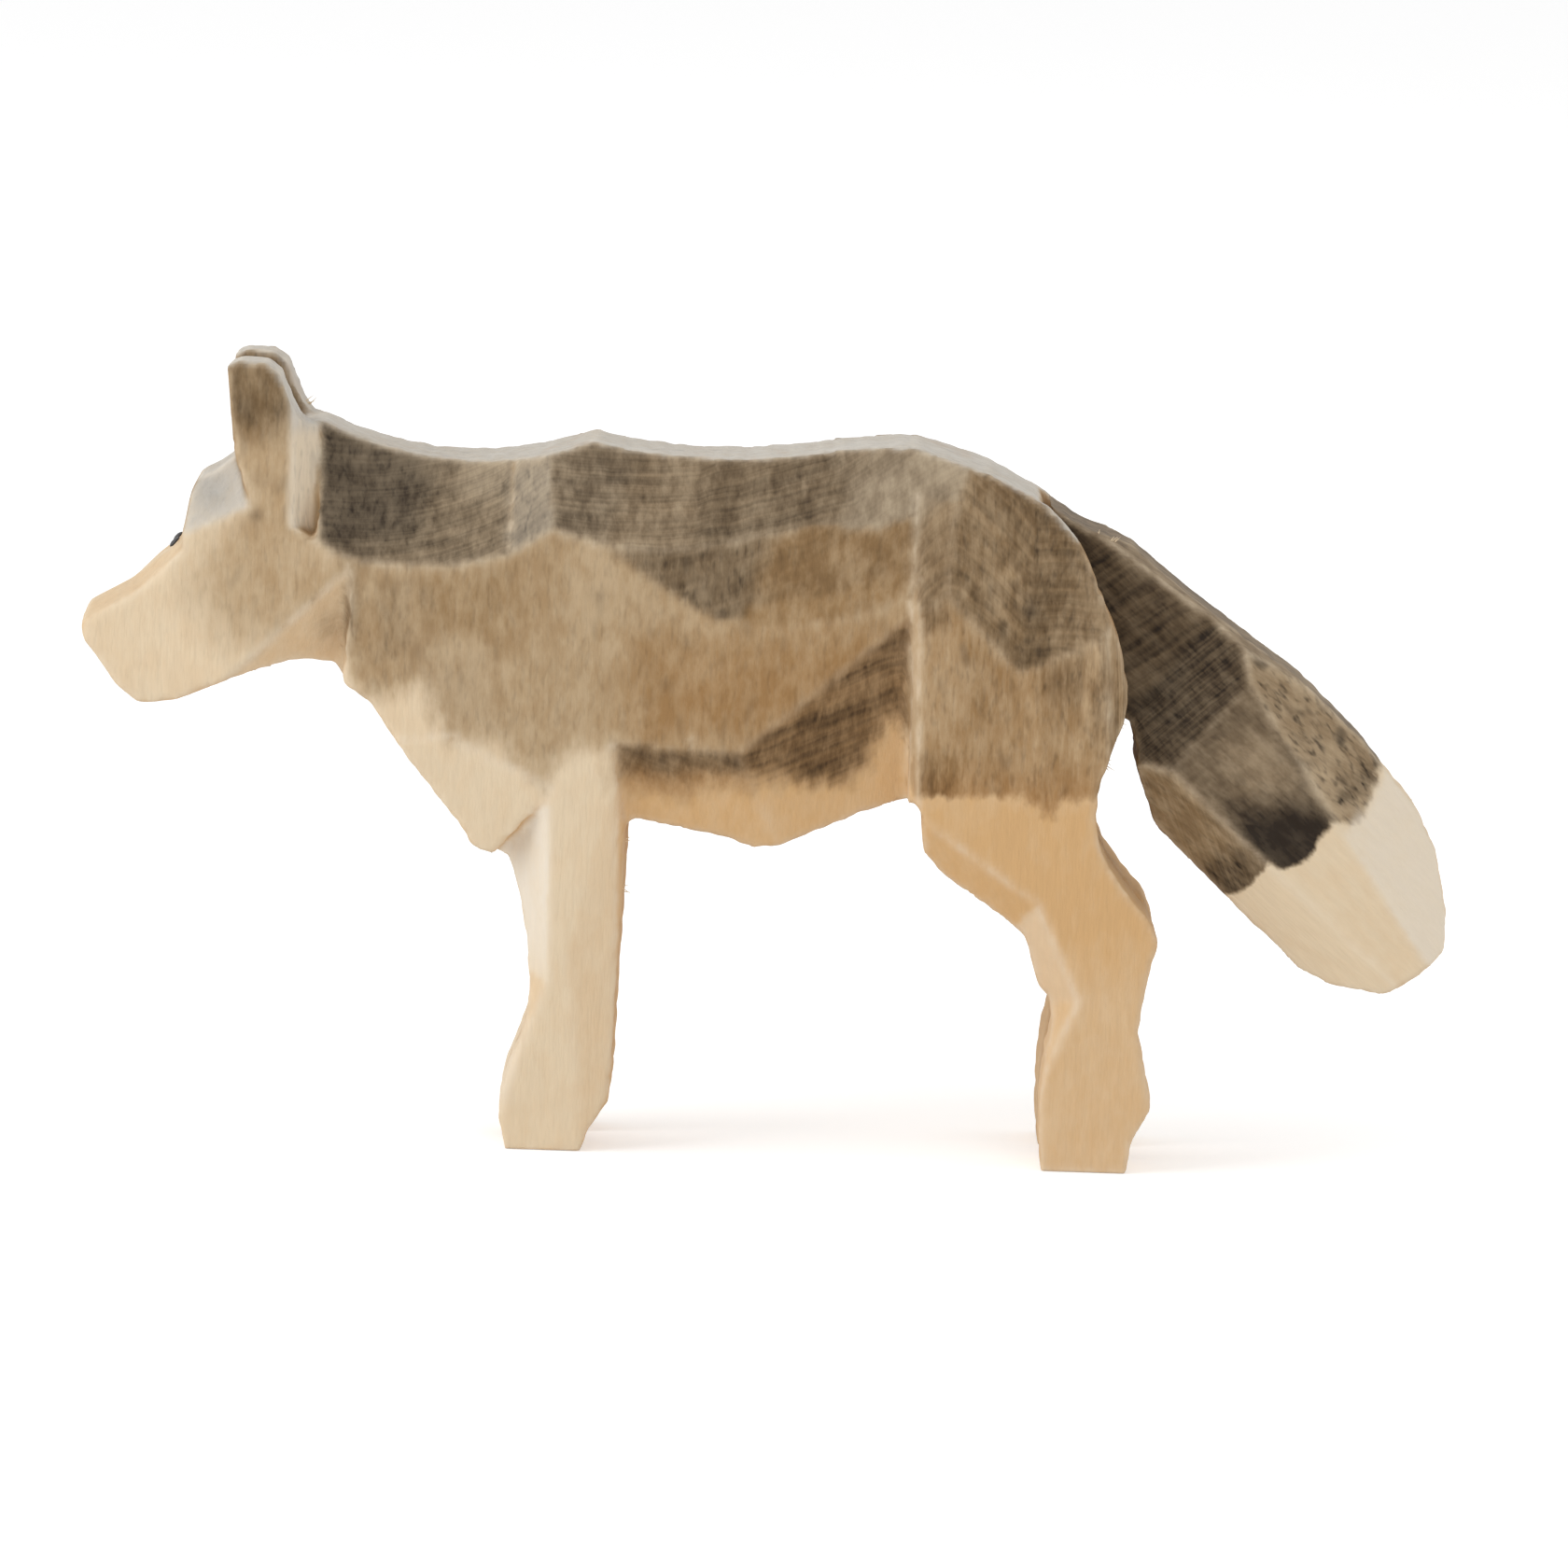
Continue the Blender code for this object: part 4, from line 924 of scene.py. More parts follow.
class CarvedBody(CarvedPiece):
    """The head, ears, trunk and legs, glazed above a ragged line and bare below it."""

    node = "carved_body"
    piece = "wolf_body"
    slot = "body_wood"
    elsewhere = Glaze("elsewhere", 0.0, 0.0, 0.8, 0.15, 0.3)
    glazes = (
        Glaze("flank", -10, 33, 0.72, 0.08, 0.06, 0, 0.5, 0.15),
        Glaze("thigh", 16, 30, 0.8, 0.09, 0.3, 0, 0.8, 0.7),
        Glaze("head side", -36, 38, 0.05, 0, 0.07, 0, 0.2, 0.15),
        Glaze("side of the neck", -25, 31.5, 0.76, 0.12, 0.08, 0, 0.6, 0.15),
        Glaze("breast", -19.1, 24, 0.82, 0.13, 0.05, 0, 0.5, 0.15),
        # The bellies' honey is partly painted warm bounce light on faces that look down.
        Glaze("front belly", -4.8, 24.2, 0.8, 0.26, 0.9, 0, 0.5, 0.2),
        Glaze("rear belly", 4.6, 27.6, 0.55, 0.6, 0.9, 0, 0.3, 0.45),
        Glaze("foreleg calf", -10.8, 11.9, 0.1, 0, 0.25),
        # The foreleg front's pale fuzz is partly painted sheen from the light on the left.
        Glaze("foreleg front", -15.3, 17.8, 0, 0, 0, 0.5, 0.1),
        # Honey here is painted warm bounce light on the shaded rear of the foreleg.
        Glaze("foreleg rear", -9.4, 19.5, 0.3, 0.05, 0.9),
        Glaze("rump front", 14.3, 40.4, 0.85, 0.48, 0.2, 0, 0.6, 0.35),
        Glaze("rump rear", 18.8, 38.2, 0.85, 0.58, 0.2, 0, 0.6, 0.35),
        # Honey here is painted warm bounce light on the underside.
        Glaze("under the thigh", 13.8, 19.4, 0.2, 0, 1),
        Glaze("loin", 7.7, 45.2, 0.4, 0.6, 0.1, 0, 0.2, 0.25),
        # Honey here is partly painted warm bounce light under the throat.
        Glaze("throat", -30.2, 33.9, 0.05, 0, 0.45),
        # The forehead's pale grey is partly painted sheen of a face that looks up.
        Glaze("forehead", -36.6, 42.7, 0, 0.52, 0, 0.42, 0.3, 0.1),
        Glaze("head rear", -30.7, 44.4, 0.05, 0, 0, 0.2, 0.9),
        Glaze("shank front", 18.6, 14.1, 0, 0, 0.3, 0.1),
        Glaze("hind foot front", 19.5, 9.5, 0, 0, 0.45),
        Glaze("thigh top", 10.3, 40.9, 0.75, 0.46, 0.2, 0, 0.3, 0.3),
        # The shoulder front's grey is partly painted sheen of a face that looks up.
        Glaze("shoulder front", -16, 43.2, 0.14, 0.6, 0, 0.06, 0.6, 0.2),
        Glaze("back, front", -9.9, 43.6, 0.55, 0.58, 0.1, 0, 0.2, 0.3),
        Glaze("back, between", -4.6, 44, 0.6, 0.67, 0.1, 0, 0.2, 0.3),
        Glaze("back, middle", -3.3, 43.2, 0.62, 0.67, 0.1, 0, 0.2, 0.3),
        Glaze("back, rear", 1, 44, 0.6, 0.66, 0.1, 0, 0.2, 0.3),
        Glaze("neck scoop", -23.9, 42.7, 0.45, 0.86, 0, 0, 0.3, 0.22),
        Glaze("front ribs", -3.2, 38.6, 0.75, 0.66, 0.1, 0, 0.6, 0.3),
        Glaze("between the ribs", 1.4, 39.5, 0.9, 0.33, 0.25),
        Glaze("rear ribs", 5.3, 39.4, 0.9, 0.33, 0.25),
        Glaze("thigh edge", 9.4, 30.3, 0.62, 0.1, 0.3),
        Glaze("buttock", 22.6, 32.4, 0.85, 0.42, 0.2, 0, 0.5, 0.6),
    )
    patches = (
        Patch("bare snout and throat", (), ((-52, 60), (-52, 20), (-27.6, 20), (-28.2, 36.5), (-32, 33.9),
            (-35.6, 33.2), (-37, 36), (-38, 38.6), (-39.4, 41), (-39.4, 60)), 2.4, brown=0.03, black=0),
        # The pale fuzz on the shin, the foreleg's front and the snout's top is partly painted sheen on faces
        # that look left.
        Patch("shin", (), ((-19.5, 12.5), (-16.2, 12.5), (-15.6, 8), (-16.6, 3), (-19.5, 3)), 1.4,
            honey=0.05, fuzz=0.2),
        Patch("lower foreleg front", ("foreleg front",), ((-20, 13), (-12, 13), (-12, 4), (-20, 4)), 6,
            fuzz=0.15),
        Patch("top of the snout", (), ((-47, 33.4), (-39, 40.1), (-39.4, 44), (-47, 41)), 0.8, honey=0.03,
            fuzz=0.28),
        Patch("cheek", ("head side",), ((-38, 36.1), (-37.2, 38.5), (-36, 40.7), (-34.6, 42.3), (-36.5, 46),
            (-37.5, 49), (-37.4, 53.3), (-31.1, 53.5), (-30, 48.9), (-29.6, 46.7), (-29.2, 42.4),
            (-28.4, 39.6), (-26.1, 37.7), (-29.7, 35), (-32.7, 33.4), (-34.8, 33), (-36.5, 34.3)), 5,
            brown=0.68, black=0.06, honey=0.06, speck=0.5),
        Patch("ear", ("head side",), ((-37.6, 53.1), (-30.6, 53.1), (-30.2, 48.4), (-32.2, 46.6),
            (-34.7, 47), (-37.1, 48.1)), 3.4, brown=0.9, black=0.52),
        Patch("below the neck scoop", ("flank", "side of the neck"), ((-23, 38.4), (-17.3, 39),
            (-16.3, 36.4), (-17.4, 33.6), (-21.1, 34.1), (-23, 35.5)), 2.6, brown=0.85, black=0.15),
        Patch("stain under the ear", ("flank", "side of the neck"), ((-25.7, 37.8), (-23.6, 37.8),
            (-23.5, 32.7), (-25.6, 32.6)), 1, black=0.24),
        Patch("pale neck", ("flank", "side of the neck"), ((-23.5, 33.7), (-18.6, 33.2), (-17.9, 28.3),
            (-22.8, 28.4)), 3.4, brown=0.72, black=0.12, honey=0.04, fuzz=0.02),
        Patch("lower neck scoop", ("neck scoop",), ((-30.8, 39.4), (-27, 40.1), (-23.4, 40.6),
            (-22.4, 45.2), (-17, 45.6), (-16.9, 36.1), (-20, 36.1), (-26.1, 36.1), (-30.4, 36.2)), 2.6,
            brown=0.55, black=0.66, speck=0.25, figure=0.3),
        Patch("top of the scoop", ("neck scoop",), ((-20.8, 47.6), (-17, 47.7), (-17.2, 43.4), (-20.4, 43)),
            2, brown=0.3, black=0.6),
        Patch("top of the front strip", ("neck scoop", "shoulder front"), ((-20.6, 45.6), (-14.5, 46.4),
            (-14.3, 45.5), (-17.3, 45.1)), 0.4, brown=0.3, black=0.5),
        Patch("crack before the shoulder", ("neck scoop", "shoulder front"), ((-17.6, 46), (-17.1, 46.1),
            (-16.9, 39.4), (-17.4, 39.4)), 0.4, brown=0.3, black=0.85),
        Patch("withers", ("back, front",), ((-15.8, 47.9), (-11.8, 48.3), (-8.8, 46.6), (-11, 40.4),
            (-15, 40.9)), 1.6, brown=0.42, black=0.67),
        # The loin's pale grey is partly painted sheen on faces that look up.
        Patch("grey loin", ("loin", "back, rear", "back, middle", "thigh top"), ((3.2, 40.4), (5.1, 44.5),
            (7, 47.3), (13.1, 48.6), (12, 45.6), (9.2, 42.4), (7, 41)), 1.8, brown=0.18, black=0.55, fuzz=0,
            speck=0.1, figure=0.12),
        Patch("first ribs", ("front ribs",), ((-14.1, 43.2), (-10.6, 42.6), (-9, 40.4), (-10.5, 38.8),
            (-12.8, 40.1)), 1.6, brown=0.6, black=0.42),
        Patch("rear ribs", ("front ribs", "between the ribs", "rear ribs"), ((0.3, 42.7), (-2.2, 35),
            (1.4, 33.5), (8.6, 36.2), (10.6, 40.9), (7.9, 43.4), (3, 43.2)), 2.2, brown=0.92, black=0.33,
            honey=0.25, speck=0.4, figure=0.2),
        Patch("low rear ribs", ("front ribs", "between the ribs", "rear ribs"), ((-1.7, 37), (4.3, 37.6),
            (8.2, 39.5), (8.7, 35), (1.4, 34), (-2.3, 34.6)), 1, brown=0.92, black=0.16, honey=0.2),
        Patch("golden flank", ("flank", "breast", "side of the neck"), ((-7.9, 33.8), (8.3, 36), (9.4, 30),
            (-1.4, 27.3), (-8.6, 27.7)), 8, brown=0.95, black=0.06, honey=0.48),
        Patch("dark band under the flank", ("front belly",), ((-10.9, 28.6), (-1.2, 27.7), (-1.4, 25.6),
            (-10.5, 26)), 1.4, brown=0.8, black=0.62, honey=0.5),
        Patch("dark top of the thigh", ("thigh",), ((9.5, 40.3), (10.7, 40.3), (11.4, 36.8), (9.7, 34.9)),
            0.8, brown=0.9, black=0.5),
        Patch("light front of the thigh", ("thigh",), ((9.5, 34.8), (12.3, 35.6), (12.5, 31.6),
            (10.1, 30.3)), 2.4, brown=0.75, black=0.05),
        Patch("dark rear of the thigh", ("thigh",), ((17.6, 37.4), (26.5, 38.5), (26.6, 29), (21, 29.4),
            (18.4, 32.4)), 4, black=0.44),
        Patch("dark hem of the thigh", ("thigh",), ((9.8, 27.3), (12.5, 27.4), (12.6, 23.7), (9.9, 23.6)),
            0.9, brown=0.95, black=0.34),
        Patch("honey wood of the hind leg", (), ((8.6, 25.6), (26.4, 25.9), (28, 14.1), (28, -6), (13, -6),
            (8.8, 20.1)), 5, honey=1),
        Patch("pale shin", ("shank front",), ((8, 26), (30, 26), (30, 2), (8, 2)), 2, honey=0.55, fuzz=0.1),
        Patch("hind foot", (), ((13, 14), (29, 14), (29, -8), (13, -8)), 7, honey=0.68),
    )
    dark_spots = (
        DarkSpot(-36.9, 43, 1.3, 1.3, 0.35), DarkSpot(-34.7, 48.5, 0.6, 0.9, 0.22),
        DarkSpot(-32.4, 48.6, 0.5, 0.8, 0.16), DarkSpot(-33.8, 44.1, 0.5, 0.6, 0.16),
        DarkSpot(-32.4, 43.6, 0.35, 0.5, 0.22), DarkSpot(-33.8, 41.7, 0.45, 0.4, 0.42),
        # The long spot at station -27.5 is painted shadow in the step between the throat and the neck.
        DarkSpot(-27.5, 36.1, 0.55, 2.2, 0.5), DarkSpot(-29.1, 34.4, 0.8, 1.2, 0.2),
        DarkSpot(-22.7, 36.8, 0.3, 0.9, 0.25), DarkSpot(-11.4, 37.3, 0.55, 0.35, 0.3),
        DarkSpot(-5.5, 34.3, 0.5, 0.4, 0.2), DarkSpot(-6.8, 31.5, 0.4, 0.35, 0.3),
        DarkSpot(16.8, 37.1, 0.35, 0.35, 0.5), DarkSpot(15.2, 39.4, 0.55, 0.28, -0.3),
        DarkSpot(14.8, 36.8, 0.2, 0.3, -0.6),
    )
    hem = (
        (-52, 60, 1), (-52, 24, 1), (-29, 24, 1), (-28.6, 33, 0.8), (-27.7, 32.4, 0.8), (-26.4, 30.1, 1.3),
        (-23.9, 30.7, 1.3), (-22.7, 31.2, 1.2), (-21.6, 28.8, 1.2), (-20.7, 27.5, 1.3), (-18.2, 27.6, 1.3),
        (-16, 25.9, 1.1), (-14.6, 24.3, 0.9), (-14.1, 25.6, 1), (-13, 27, 1.3), (-10.3, 27.5, 1),
        (-10, 24.9, 1.4), (-7.4, 24.7, 1.5), (-5.3, 24.3, 1.5), (-3.8, 25, 1.5), (-1.3, 25.1, 1.5),
        (-0.4, 25.3, 1.3), (1.7, 25.4, 1.3), (3.5, 25.2, 1.3), (5.1, 25.5, 1.2), (6.6, 26.4, 1),
        (7.2, 28.3, 0.9), (7.7, 29.4, 0.8), (8.4, 29.6, 0.8), (9.1, 28.3, 0.5), (9.4, 24.9, 0.25),
        (10, 24.8, 0.35), (12.7, 24.9, 0.4), (17, 24.9, 0.45), (17.9, 23.9, 0.5), (18.8, 23.9, 0.5),
        (19.5, 24.8, 0.45), (21.9, 25.1, 0.4), (30, 25.2, 0.4), (30, 60, 0.5),
    )


class CarvedTail(CarvedPiece):
    """The tail, which is the darkest piece, with a bare tip."""

    node = "tail"
    piece = "wolf_tail"
    slot = "tail_wood"
    elsewhere = Glaze("elsewhere", 0.0, 0.0, 0.7, 0.5, 0.2)
    top_strip = Glaze("top strip", 0.0, 0.0, 0.6, 0.60, 0.05, 0.04, 0.6, 0.2)
    surface_step = 0.23 * MM
    turned_from = 20.0
    bare_below = 0.0
    glazes = (
        Glaze("root", 23.3, 36.7, 0.8, 0.81, 0.1, 0, 0.2, 0.35),
        Glaze("flare", 27.5, 31.2, 0.7, 0.82, 0.1, 0, 0.3, 0.25),
        Glaze("side", 34.8, 22.8, 0.6, 0.68, 0.1, 0, 0.3, 0.1),
        Glaze("upper", 39.2, 24.6, 0.62, 0.34, 0, 0, 1.7, 0.2),
        Glaze("lower", 32.4, 18.8, 0.8, 0.34, 0, 0, 0.6, 0.3),
    )
    patches = (
        # The dark root is partly the glaze and partly painted shadow that the thigh casts on the tail.
        Patch("dark root", ("flare", "side"), ((15, 46), (22.5, 43.8), (28.9, 37.8), (30.2, 35.1),
            (30.6, 31.8), (29.2, 29.3), (25.9, 26.3), (21.5, 25.2)), 2, brown=0.7, black=0.86, speck=0.3,
            figure=0.4),
        Patch("olive side", ("side",), ((29.7, 28.4), (32.2, 29), (35.4, 25.4), (31.1, 25.3)), 2.6,
            brown=0.55, black=0.54),
        Patch("black band", ("side",), ((29.8, 22.4), (31.6, 24.3), (34.6, 24.9), (38.6, 23.9), (38, 17),
            (34, 15.4), (30.4, 17.8)), 3.4, brown=0.6, black=0.99),
        Patch("dark end of the lower facet", ("lower",), ((27.6, 19), (31.4, 22.4), (35.4, 20.1),
            (31.5, 13.6)), 3, brown=0.8, black=0.72),
        Patch("bare tip", ("upper",), ((38, 22.4), (41.6, 28), (50, 30), (50, 10), (36, 10)), 1, fuzz=0.36),
    )
    dark_spots = (
        DarkSpot(39.6, 26.3, 0.9, 0.7, 0.3), DarkSpot(38, 25.2, 0.7, 0.6, 0.35), DarkSpot(35.4, 27.2, 0.5, 0.5, 0.3),
        DarkSpot(35.1, 25.9, 0.4, 0.4, 0.2),
    )
    hem = (
        (0, 60, 0.5), (42, 31, 0.3), (40.3, 26.9, 0.4), (39.7, 25.3, 0.35), (39.1, 23.4, 0.3),
        (37.9, 23.4, 0.3), (37, 23.5, 0.3), (36.3, 22, 0.22), (35.6, 20.9, 0.2), (34.1, 20.3, 0.2),
        (33, 20.7, 0.2), (32.3, 19.3, 0.2), (31.2, 18.4, 0.22), (29.6, 17.7, 0.3), (27, 14, 0.3),
        (0, 14, 0.5),
    )


@dataclass
class PaintedEye:
    """A domed dot of lacquer over the flat dot of its node.

    Its shoulder and its crown are each an inset, as a share of the radius, and a rise, as one of the dome.
    """

    node: str
    piece: str
    slot: str = "eye_paint"
    sides: int = 24
    sink: float = 0.08 * MM
    dome: float = 0.2 * MM
    shoulder: tuple[float, float] = (0.45, 0.5)
    crown: tuple[float, float] = (0.3, 0.15)
    ragged: float = 0.06 * MM
    drips: Triple = (0.35, 0.35, 0.35)

    def raise_dot(self, centre: Vector, outward: Vector, radius: float) -> bpy.types.Object:
        """Models the dot at its place.

        Args:
            centre: Where it lies on the wood.
            outward: The way that the wood faces there.
            radius: Its radius.

        Returns:
            The dot.
        """
        bpy.ops.mesh.primitive_circle_add(
            vertices=self.sides, radius=radius, fill_type="NGON", location=centre
        )
        obj = bpy.context.active_object
        obj.name = self.piece
        obj.rotation_mode = "QUATERNION"
        obj.rotation_quaternion = outward.to_track_quat("Z", "Y")
        bpy.ops.object.mode_set(mode="EDIT")
        bpy.ops.mesh.select_all(action="SELECT")
        bpy.ops.mesh.extrude_region_move(TRANSFORM_OT_translate={"value": tuple(outward * self.dome)})
        for inset, rise in (self.shoulder, self.crown):
            bpy.ops.mesh.inset(thickness=radius * inset, depth=self.dome * rise)
        bpy.ops.object.mode_set(mode="OBJECT")
        bpy.ops.object.transform_apply(location=True, rotation=True, scale=True)
        return obj

    def build(self, frame: dict, wood: bpy.types.Object, material: bpy.types.Material) -> bpy.types.Object:
        """Makes the dot at its node's place, seated on the finished wood.

        Args:
            frame: The loaded frame.
            wood: The finished head.
            material: Its lacquer.

        Returns:
            The finished piece.
        """
        dot = np.array([point.co for point in frame["nodes"][self.node].data.vertices])
        surface = BVHTree.FromObject(wood, bpy.context.evaluated_depsgraph_get())
        centre, outward, _, _ = surface.find_nearest(Vector(dot.mean(0)))
        radius = np.linalg.norm(dot - dot.mean(0), axis=1).max()
        obj = self.raise_dot(centre, outward, radius)
        points = read_points(obj)
        middle, way = np.array(centre), np.array(outward)
        height = (points - middle) @ way
        around = points - middle - height[:, None] * way
        wobble = (ripple(points, self.drips) - 0.5) * self.ragged / radius
        points = middle + around * (1 + wobble)[:, None] + way * (height - self.sink)[:, None]
        obj.data.vertices.foreach_set("co", points.astype(np.float32).ravel())
        recalculate_normals(obj)
        subdivide = obj.modifiers.new("round", "SUBSURF")
        subdivide.levels = subdivide.render_levels = 2
        bpy.ops.object.modifier_apply(modifier=subdivide.name)
        bpy.ops.object.shade_smooth()
        obj.data.materials.append(material)
        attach(obj, ROOT)
        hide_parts(self.node)
        log.info("%s: %d points", self.piece, len(obj.data.vertices))
        return obj


@dataclass(frozen=True)
class Tuft:
    """A few torn fibres: where they stand in millimetres, their lean from upright in degrees, and length."""

    station: float
    depth: float
    height: float
    lean: float
    length: float
    hairs: int = 3


BODY_TUFTS = (
    Tuft(22.4, -4.5, 26.9, 118.0, 0.9, 5),
    Tuft(22.9, -4.5, 29.6, 100.0, 0.6, 2),
    Tuft(-8.9, -4.5, 17.6, 110.0, 0.9, 3),
    Tuft(-9.3, -4.5, 20.7, 80.0, 0.6, 2),
    Tuft(-31.1, 3.0, 48.3, 60.0, 0.8, 4),
    Tuft(-30.2, 3.0, 46.9, 70.0, 0.6, 2),
)
TAIL_TUFTS = (
    Tuft(22.5, -3.0, 42.0, 50.0, 0.6, 4),
    Tuft(21.2, -3.0, 42.6, 40.0, 0.45, 2),
)


@dataclass
class TornFibres:
    """The stray fibres that the knife and the saw left standing on a few edges.

    Spread is how many degrees they splay, apart is how far their roots are, and shortest is the least share
    of its tuft's length that a fibre has.
    """

    piece: str
    slot: str
    tufts: tuple[Tuft, ...]
    sides: int = 5
    root_radius: float = 0.05 * MM
    tip_radius: float = 0.008 * MM
    buried: float = 0.12 * MM
    spread: float = 26.0
    apart: float = 0.25
    shortest: float = 0.55

    def hair(self, root: Vector, lean: float, yaw: float, length: float) -> bpy.types.Object:
        """Makes one tapered fibre.

        Args:
            root: Where it leaves the wood, in metres.
            lean: How far it leans from upright towards the tail, in degrees.
            yaw: How far it leans out of the picture, in degrees.
            length: Its length in metres.

        Returns:
            The fibre.
        """
        splay = Matrix.Rotation(math.radians(yaw), 3, "X") @ Matrix.Rotation(math.radians(lean), 3, "Y")
        way = splay @ Vector((0, 0, 1))
        bpy.ops.mesh.primitive_cone_add(
            vertices=self.sides,
            radius1=self.root_radius,
            radius2=self.tip_radius,
            depth=length,
            location=root + way * (length / 2 - self.buried),
            rotation=way.to_track_quat("Z", "Y").to_euler(),
        )
        return bpy.context.active_object

    def build(self, wood: bpy.types.Object, material: bpy.types.Material) -> bpy.types.Object:
        """Stands the fibres on a finished piece of wood.

        Args:
            wood: The piece they grow from.
            material: Its wood.

        Returns:
            The fibres as one piece.
        """
        surface = BVHTree.FromObject(wood, bpy.context.evaluated_depsgraph_get())
        chance = np.random.default_rng(len(self.tufts))
        made = []
        for tuft in self.tufts:
            root = surface.find_nearest(Vector((tuft.station, tuft.depth, tuft.height)) * MM)[0]
            for _ in range(tuft.hairs):
                lean = tuft.lean + self.spread * chance.uniform(-1, 1)
                shift = Vector(chance.uniform(-self.apart, self.apart, 3)) * MM
                start = surface.find_nearest(root + shift)[0]
                length = tuft.length * MM * chance.uniform(self.shortest, 1.0)
                made.append(self.hair(start, lean, self.spread * chance.uniform(-0.5, 0.5), length))
        bpy.ops.object.select_all(action="DESELECT")
        for obj in made:
            obj.select_set(True)
        bpy.context.view_layer.objects.active = made[0]
        bpy.ops.object.join()
        fibres = bpy.context.active_object
        fibres.name = self.piece
        bpy.ops.object.transform_apply(location=True, rotation=True, scale=True)
        fibres.data.materials.append(material)
        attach(fibres, ROOT)
        log.info("%s: %d fibres", self.piece, len(made))
        return fibres


def select_only(obj: bpy.types.Object) -> None:
    """Deselects everything, and makes one object selected and active."""
    bpy.ops.object.select_all(action="DESELECT")
    obj.select_set(True)
    bpy.context.view_layer.objects.active = obj


def read_points(obj: bpy.types.Object) -> np.ndarray:
    """Gives a mesh's points, a row each."""
    values = np.zeros(len(obj.data.vertices) * 3, np.float32)
    obj.data.vertices.foreach_get("co", values)
    return values.reshape(-1, 3).astype(float)


def read_normals(obj: bpy.types.Object) -> np.ndarray:
    """Gives the surface's direction at each of a mesh's points."""
    values = np.zeros(len(obj.data.vertices) * 3, np.float32)
    obj.data.vertex_normals.foreach_get("vector", values)
    return values.reshape(-1, 3).astype(float)


def soften(obj: bpy.types.Object, coat: Coat, times: int) -> Coat:
    """Lets each channel bleed a little into the points beside it.

    Args:
        obj: The mesh that the points belong to.
        coat: Each channel's value at each point.
        times: How many points far it bleeds.

    Returns:
        The softened channels.
    """
    pairs = np.zeros(len(obj.data.edges) * 2, np.int32)
    obj.data.edges.foreach_get("vertices", pairs)
    one, other = pairs.reshape(-1, 2).T
    count = len(obj.data.vertices)
    beside = np.bincount(one, minlength=count) + np.bincount(other, minlength=count)
    soft = {}
    for name, values in coat.items():
        for _ in range(times):
            total = np.bincount(one, values[other], count) + np.bincount(other, values[one], count)
            values = (values + total / beside) / 2
        soft[name] = values
    return soft


def recalculate_normals(obj: bpy.types.Object) -> None:
    """Turns a mesh's faces outwards."""
    select_only(obj)
    bpy.ops.object.mode_set(mode="EDIT")
    bpy.ops.mesh.select_all(action="SELECT")
    bpy.ops.mesh.normals_make_consistent(inside=False)
    bpy.ops.object.mode_set(mode="OBJECT")


@dataclass
class PhotographCamera:
    """The long lens that looks a little down on the wolf's left side. Its scale is in pixels per metre."""

    distance: float = 0.520
    elevation: float = 9.4
    roll: float = 1.9
    scale: float = 16200.0
    image_width: int = 1680
    sensor: float = 36.0
    aim: Triple = (0.0011, 0.0, 0.0242)

    def build(self) -> bpy.types.Object:
        """Makes the scene's camera.

        Returns:
            The camera.
        """
        data = bpy.data.cameras.new("camera")
        data.sensor_width = self.sensor
        data.lens = self.scale * self.distance / self.image_width * self.sensor
        camera = bpy.data.objects.new("camera", data)
        tilt = Matrix.Rotation(math.radians(90.0 - self.elevation), 4, "X")
        turned = tilt @ Matrix.Rotation(math.radians(self.roll), 4, "Z")
        place = Vector(self.aim) + turned.col[2].to_3d() * self.distance
        camera.matrix_world = Matrix.Translation(place) @ turned
        bpy.context.scene.collection.objects.link(camera)
        bpy.context.scene.camera = camera
        return camera


@dataclass(frozen=True)
class SoftBox:
    """A square lamp: its name, its place and width in metres, and its power in watts."""

    name: str
    place: Triple
    size: float
    power: float


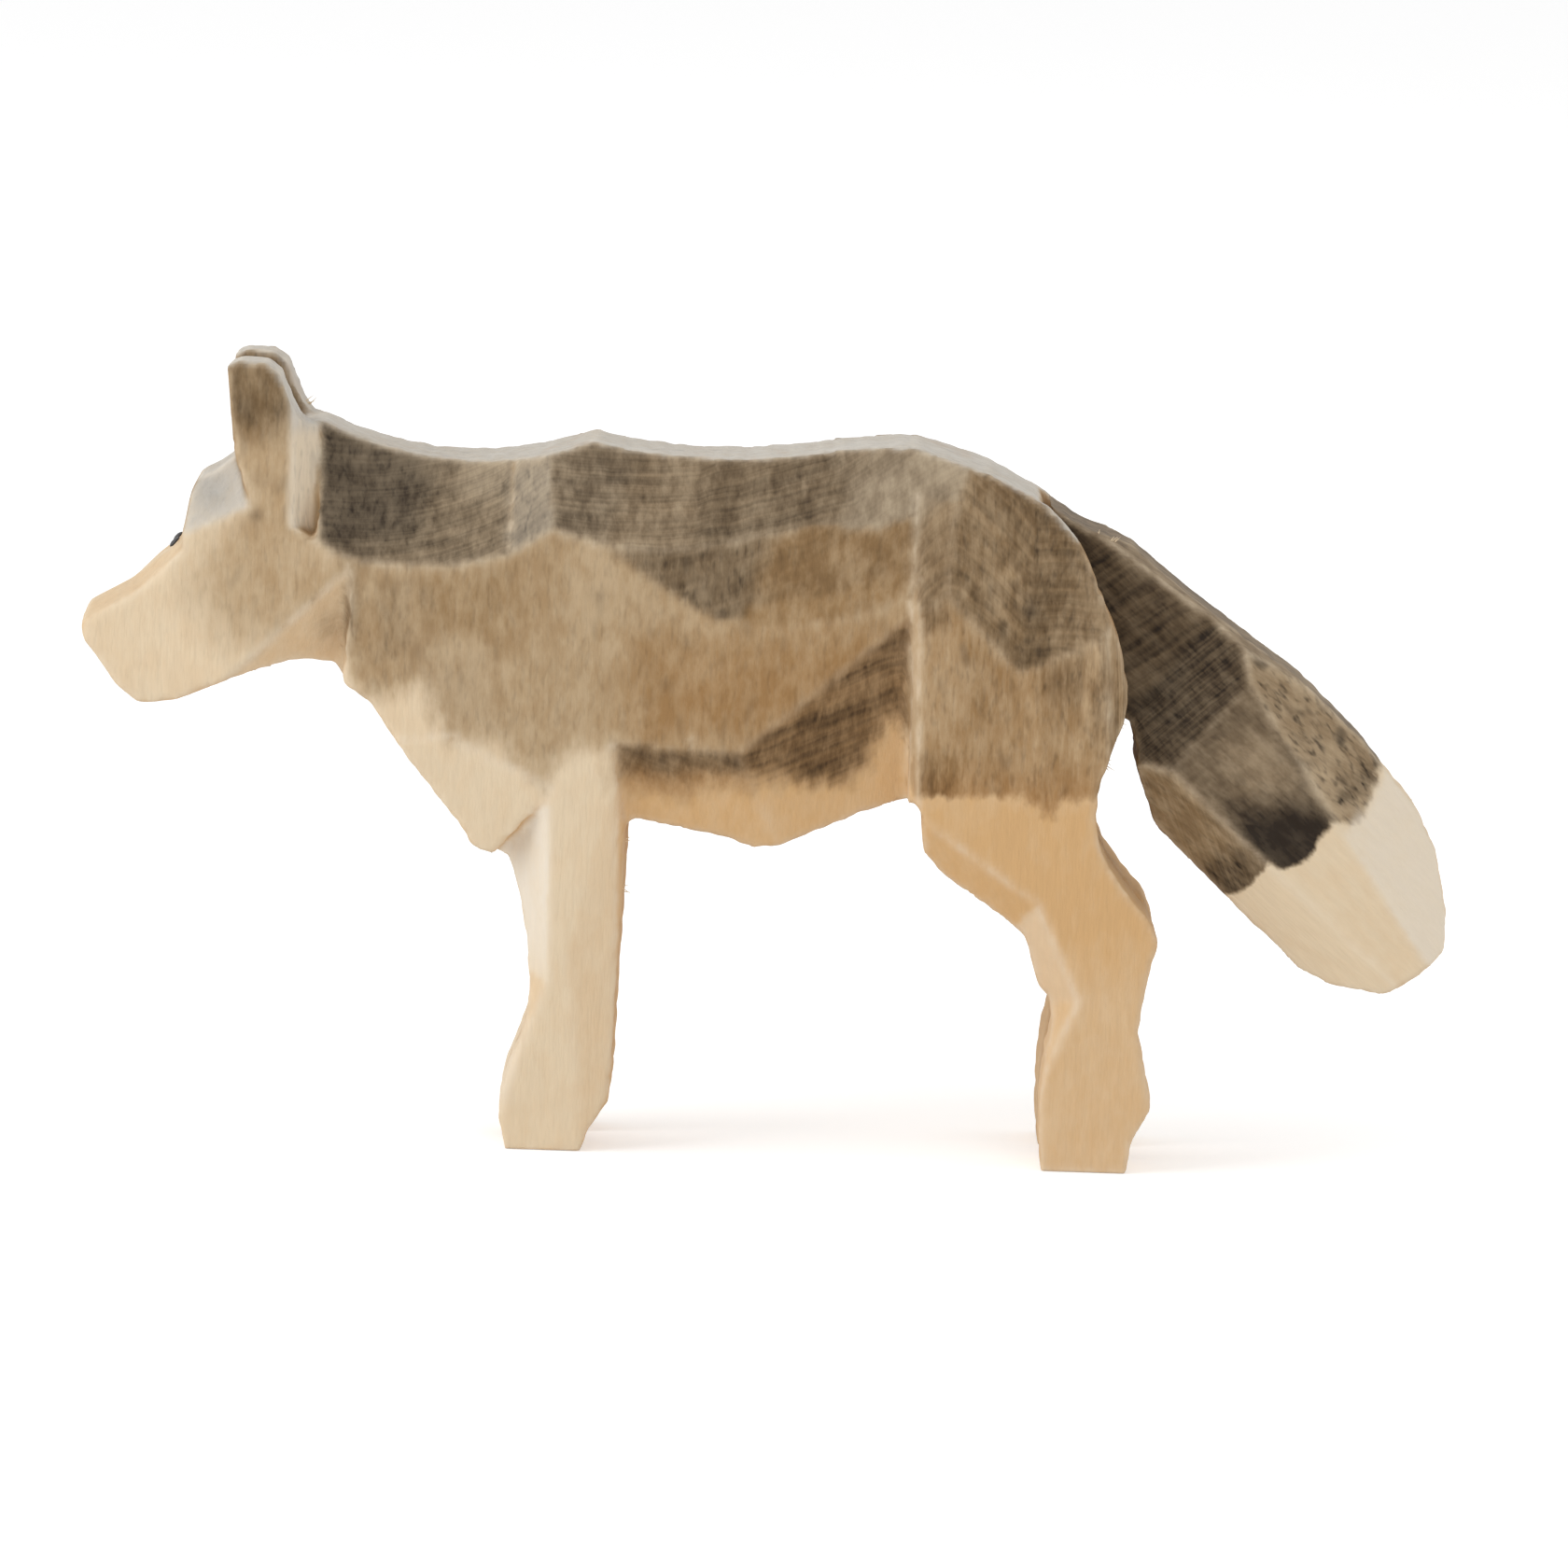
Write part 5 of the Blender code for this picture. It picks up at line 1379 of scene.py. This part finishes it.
@dataclass
class Studio:
    """A white sweep under soft light from the upper left. The camera sees all of it as plain white."""

    floor_size: float = 3.0
    floor_drop: float = 0.02 * MM
    floor_colour: Triple = (0.925, 0.925, 0.925)
    floor_roughness: float = 0.9
    floor_specular: float = 0.1
    floor_glow: float = 0.34
    sky: float = 0.65
    lit: Triple = (0.0, 0.0, 0.025)
    boxes: tuple[SoftBox, ...] = (
        SoftBox("top_left_box", (-0.60, -0.22, 0.50), 0.5, 2.4),
        SoftBox("left_box", (-0.80, -0.30, 0.14), 0.4, 0.8),
        SoftBox("front_box", (0.25, -0.80, 0.30), 0.6, 1.0),
        SoftBox("right_box", (0.75, 0.10, 0.30), 0.5, 0.9),
    )

    def floor(self) -> bpy.types.Object:
        """Makes the floor, which is white in the picture and keeps the wolf's faint shadow.

        Returns:
            The floor.
        """
        bpy.ops.mesh.primitive_grid_add(x_subdivisions=4, y_subdivisions=4, size=self.floor_size)
        floor = bpy.context.active_object
        floor.name = "floor"
        floor.data.transform(Matrix.Translation((0, 0, -self.floor_drop)))
        material = bpy.data.materials.new("white_sweep")
        material.use_nodes = True
        sheet = NodeSheet(material.node_tree)
        seen = sheet.node("ShaderNodeLightPath").outputs["Is Camera Ray"]
        looks = {
            "Base Color": (*self.floor_colour, 1.0),
            "Roughness": self.floor_roughness,
            "Specular IOR Level": self.floor_specular,
            "Emission Color": (1.0, 1.0, 1.0, 1.0),
            "Emission Strength": sheet.math("MULTIPLY", seen, self.floor_glow),
        }
        sheet.fill(material.node_tree.nodes[PRINCIPLED], looks)
        floor.data.materials.append(material)
        return floor

    def surround(self) -> None:
        """Makes the even white surround."""
        world = bpy.data.worlds.new("surround")
        world.use_nodes = True
        bpy.context.scene.world = world
        sheet = NodeSheet(world.node_tree)
        path = sheet.node("ShaderNodeLightPath").outputs
        seen = sheet.math("MAXIMUM", path["Is Camera Ray"], path["Is Glossy Ray"])
        seen = sheet.math("MAXIMUM", seen, path["Is Transmission Ray"])
        looks = {"Color": (1.0, 1.0, 1.0, 1.0), "Strength": sheet.total(self.sky, (seen, 1.0 - self.sky))}
        sheet.fill(world.node_tree.nodes["Background"], looks)

    def hang(self, box: SoftBox) -> None:
        """Hangs a soft box that faces the wolf's middle."""
        data = bpy.data.lights.new(box.name, "AREA")
        data.size = box.size
        data.energy = box.power
        lamp = bpy.data.objects.new(box.name, data)
        lamp.location = box.place
        lamp.rotation_mode = "QUATERNION"
        lamp.rotation_quaternion = (Vector(self.lit) - Vector(box.place)).to_track_quat("-Z", "Y")
        bpy.context.scene.collection.objects.link(lamp)

    def build(self) -> None:
        """Sets up the floor, the surround and the lamps."""
        self.floor()
        self.surround()
        for box in self.boxes:
            self.hang(box)


def main() -> None:
    """Builds the wolf, the studio and the camera in order."""
    logging.basicConfig(level=logging.INFO, format="%(message)s")
    for name in ("Cube", "Light", "Camera"):
        if name in bpy.data.objects:
            bpy.data.objects.remove(bpy.data.objects[name])
    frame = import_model()
    bpy.ops.object.select_all(action="DESELECT")
    PhotographCamera().build()
    Studio().build()
    maker = WoodMaker()
    body_wood = maker.make(WoodFinish("body_wood"))
    body = CarvedBody().build(frame, body_wood)
    TornFibres("body_torn_fibres", "body_wood", BODY_TUFTS).build(body, body_wood)
    tail_finish = WoodFinish("tail_wood", grain=Grain.TAIL_SLOPE, growth=(-0.146, 1.0, 0.212), curve=0.0)
    tail_wood = maker.make(tail_finish)
    tail = CarvedTail().build(frame, tail_wood)
    TornFibres("tail_torn_fibres", "tail_wood", TAIL_TUFTS).build(tail, tail_wood)
    paint = make_paint(PaintFinish())
    PaintedEye("left_eye", "wolf_left_eye").build(frame, body, paint)
    PaintedEye("right_eye", "wolf_right_eye").build(frame, body, paint)
    bpy.context.scene.view_settings.view_transform = "Standard"


if __name__ == "__main__":
    main()
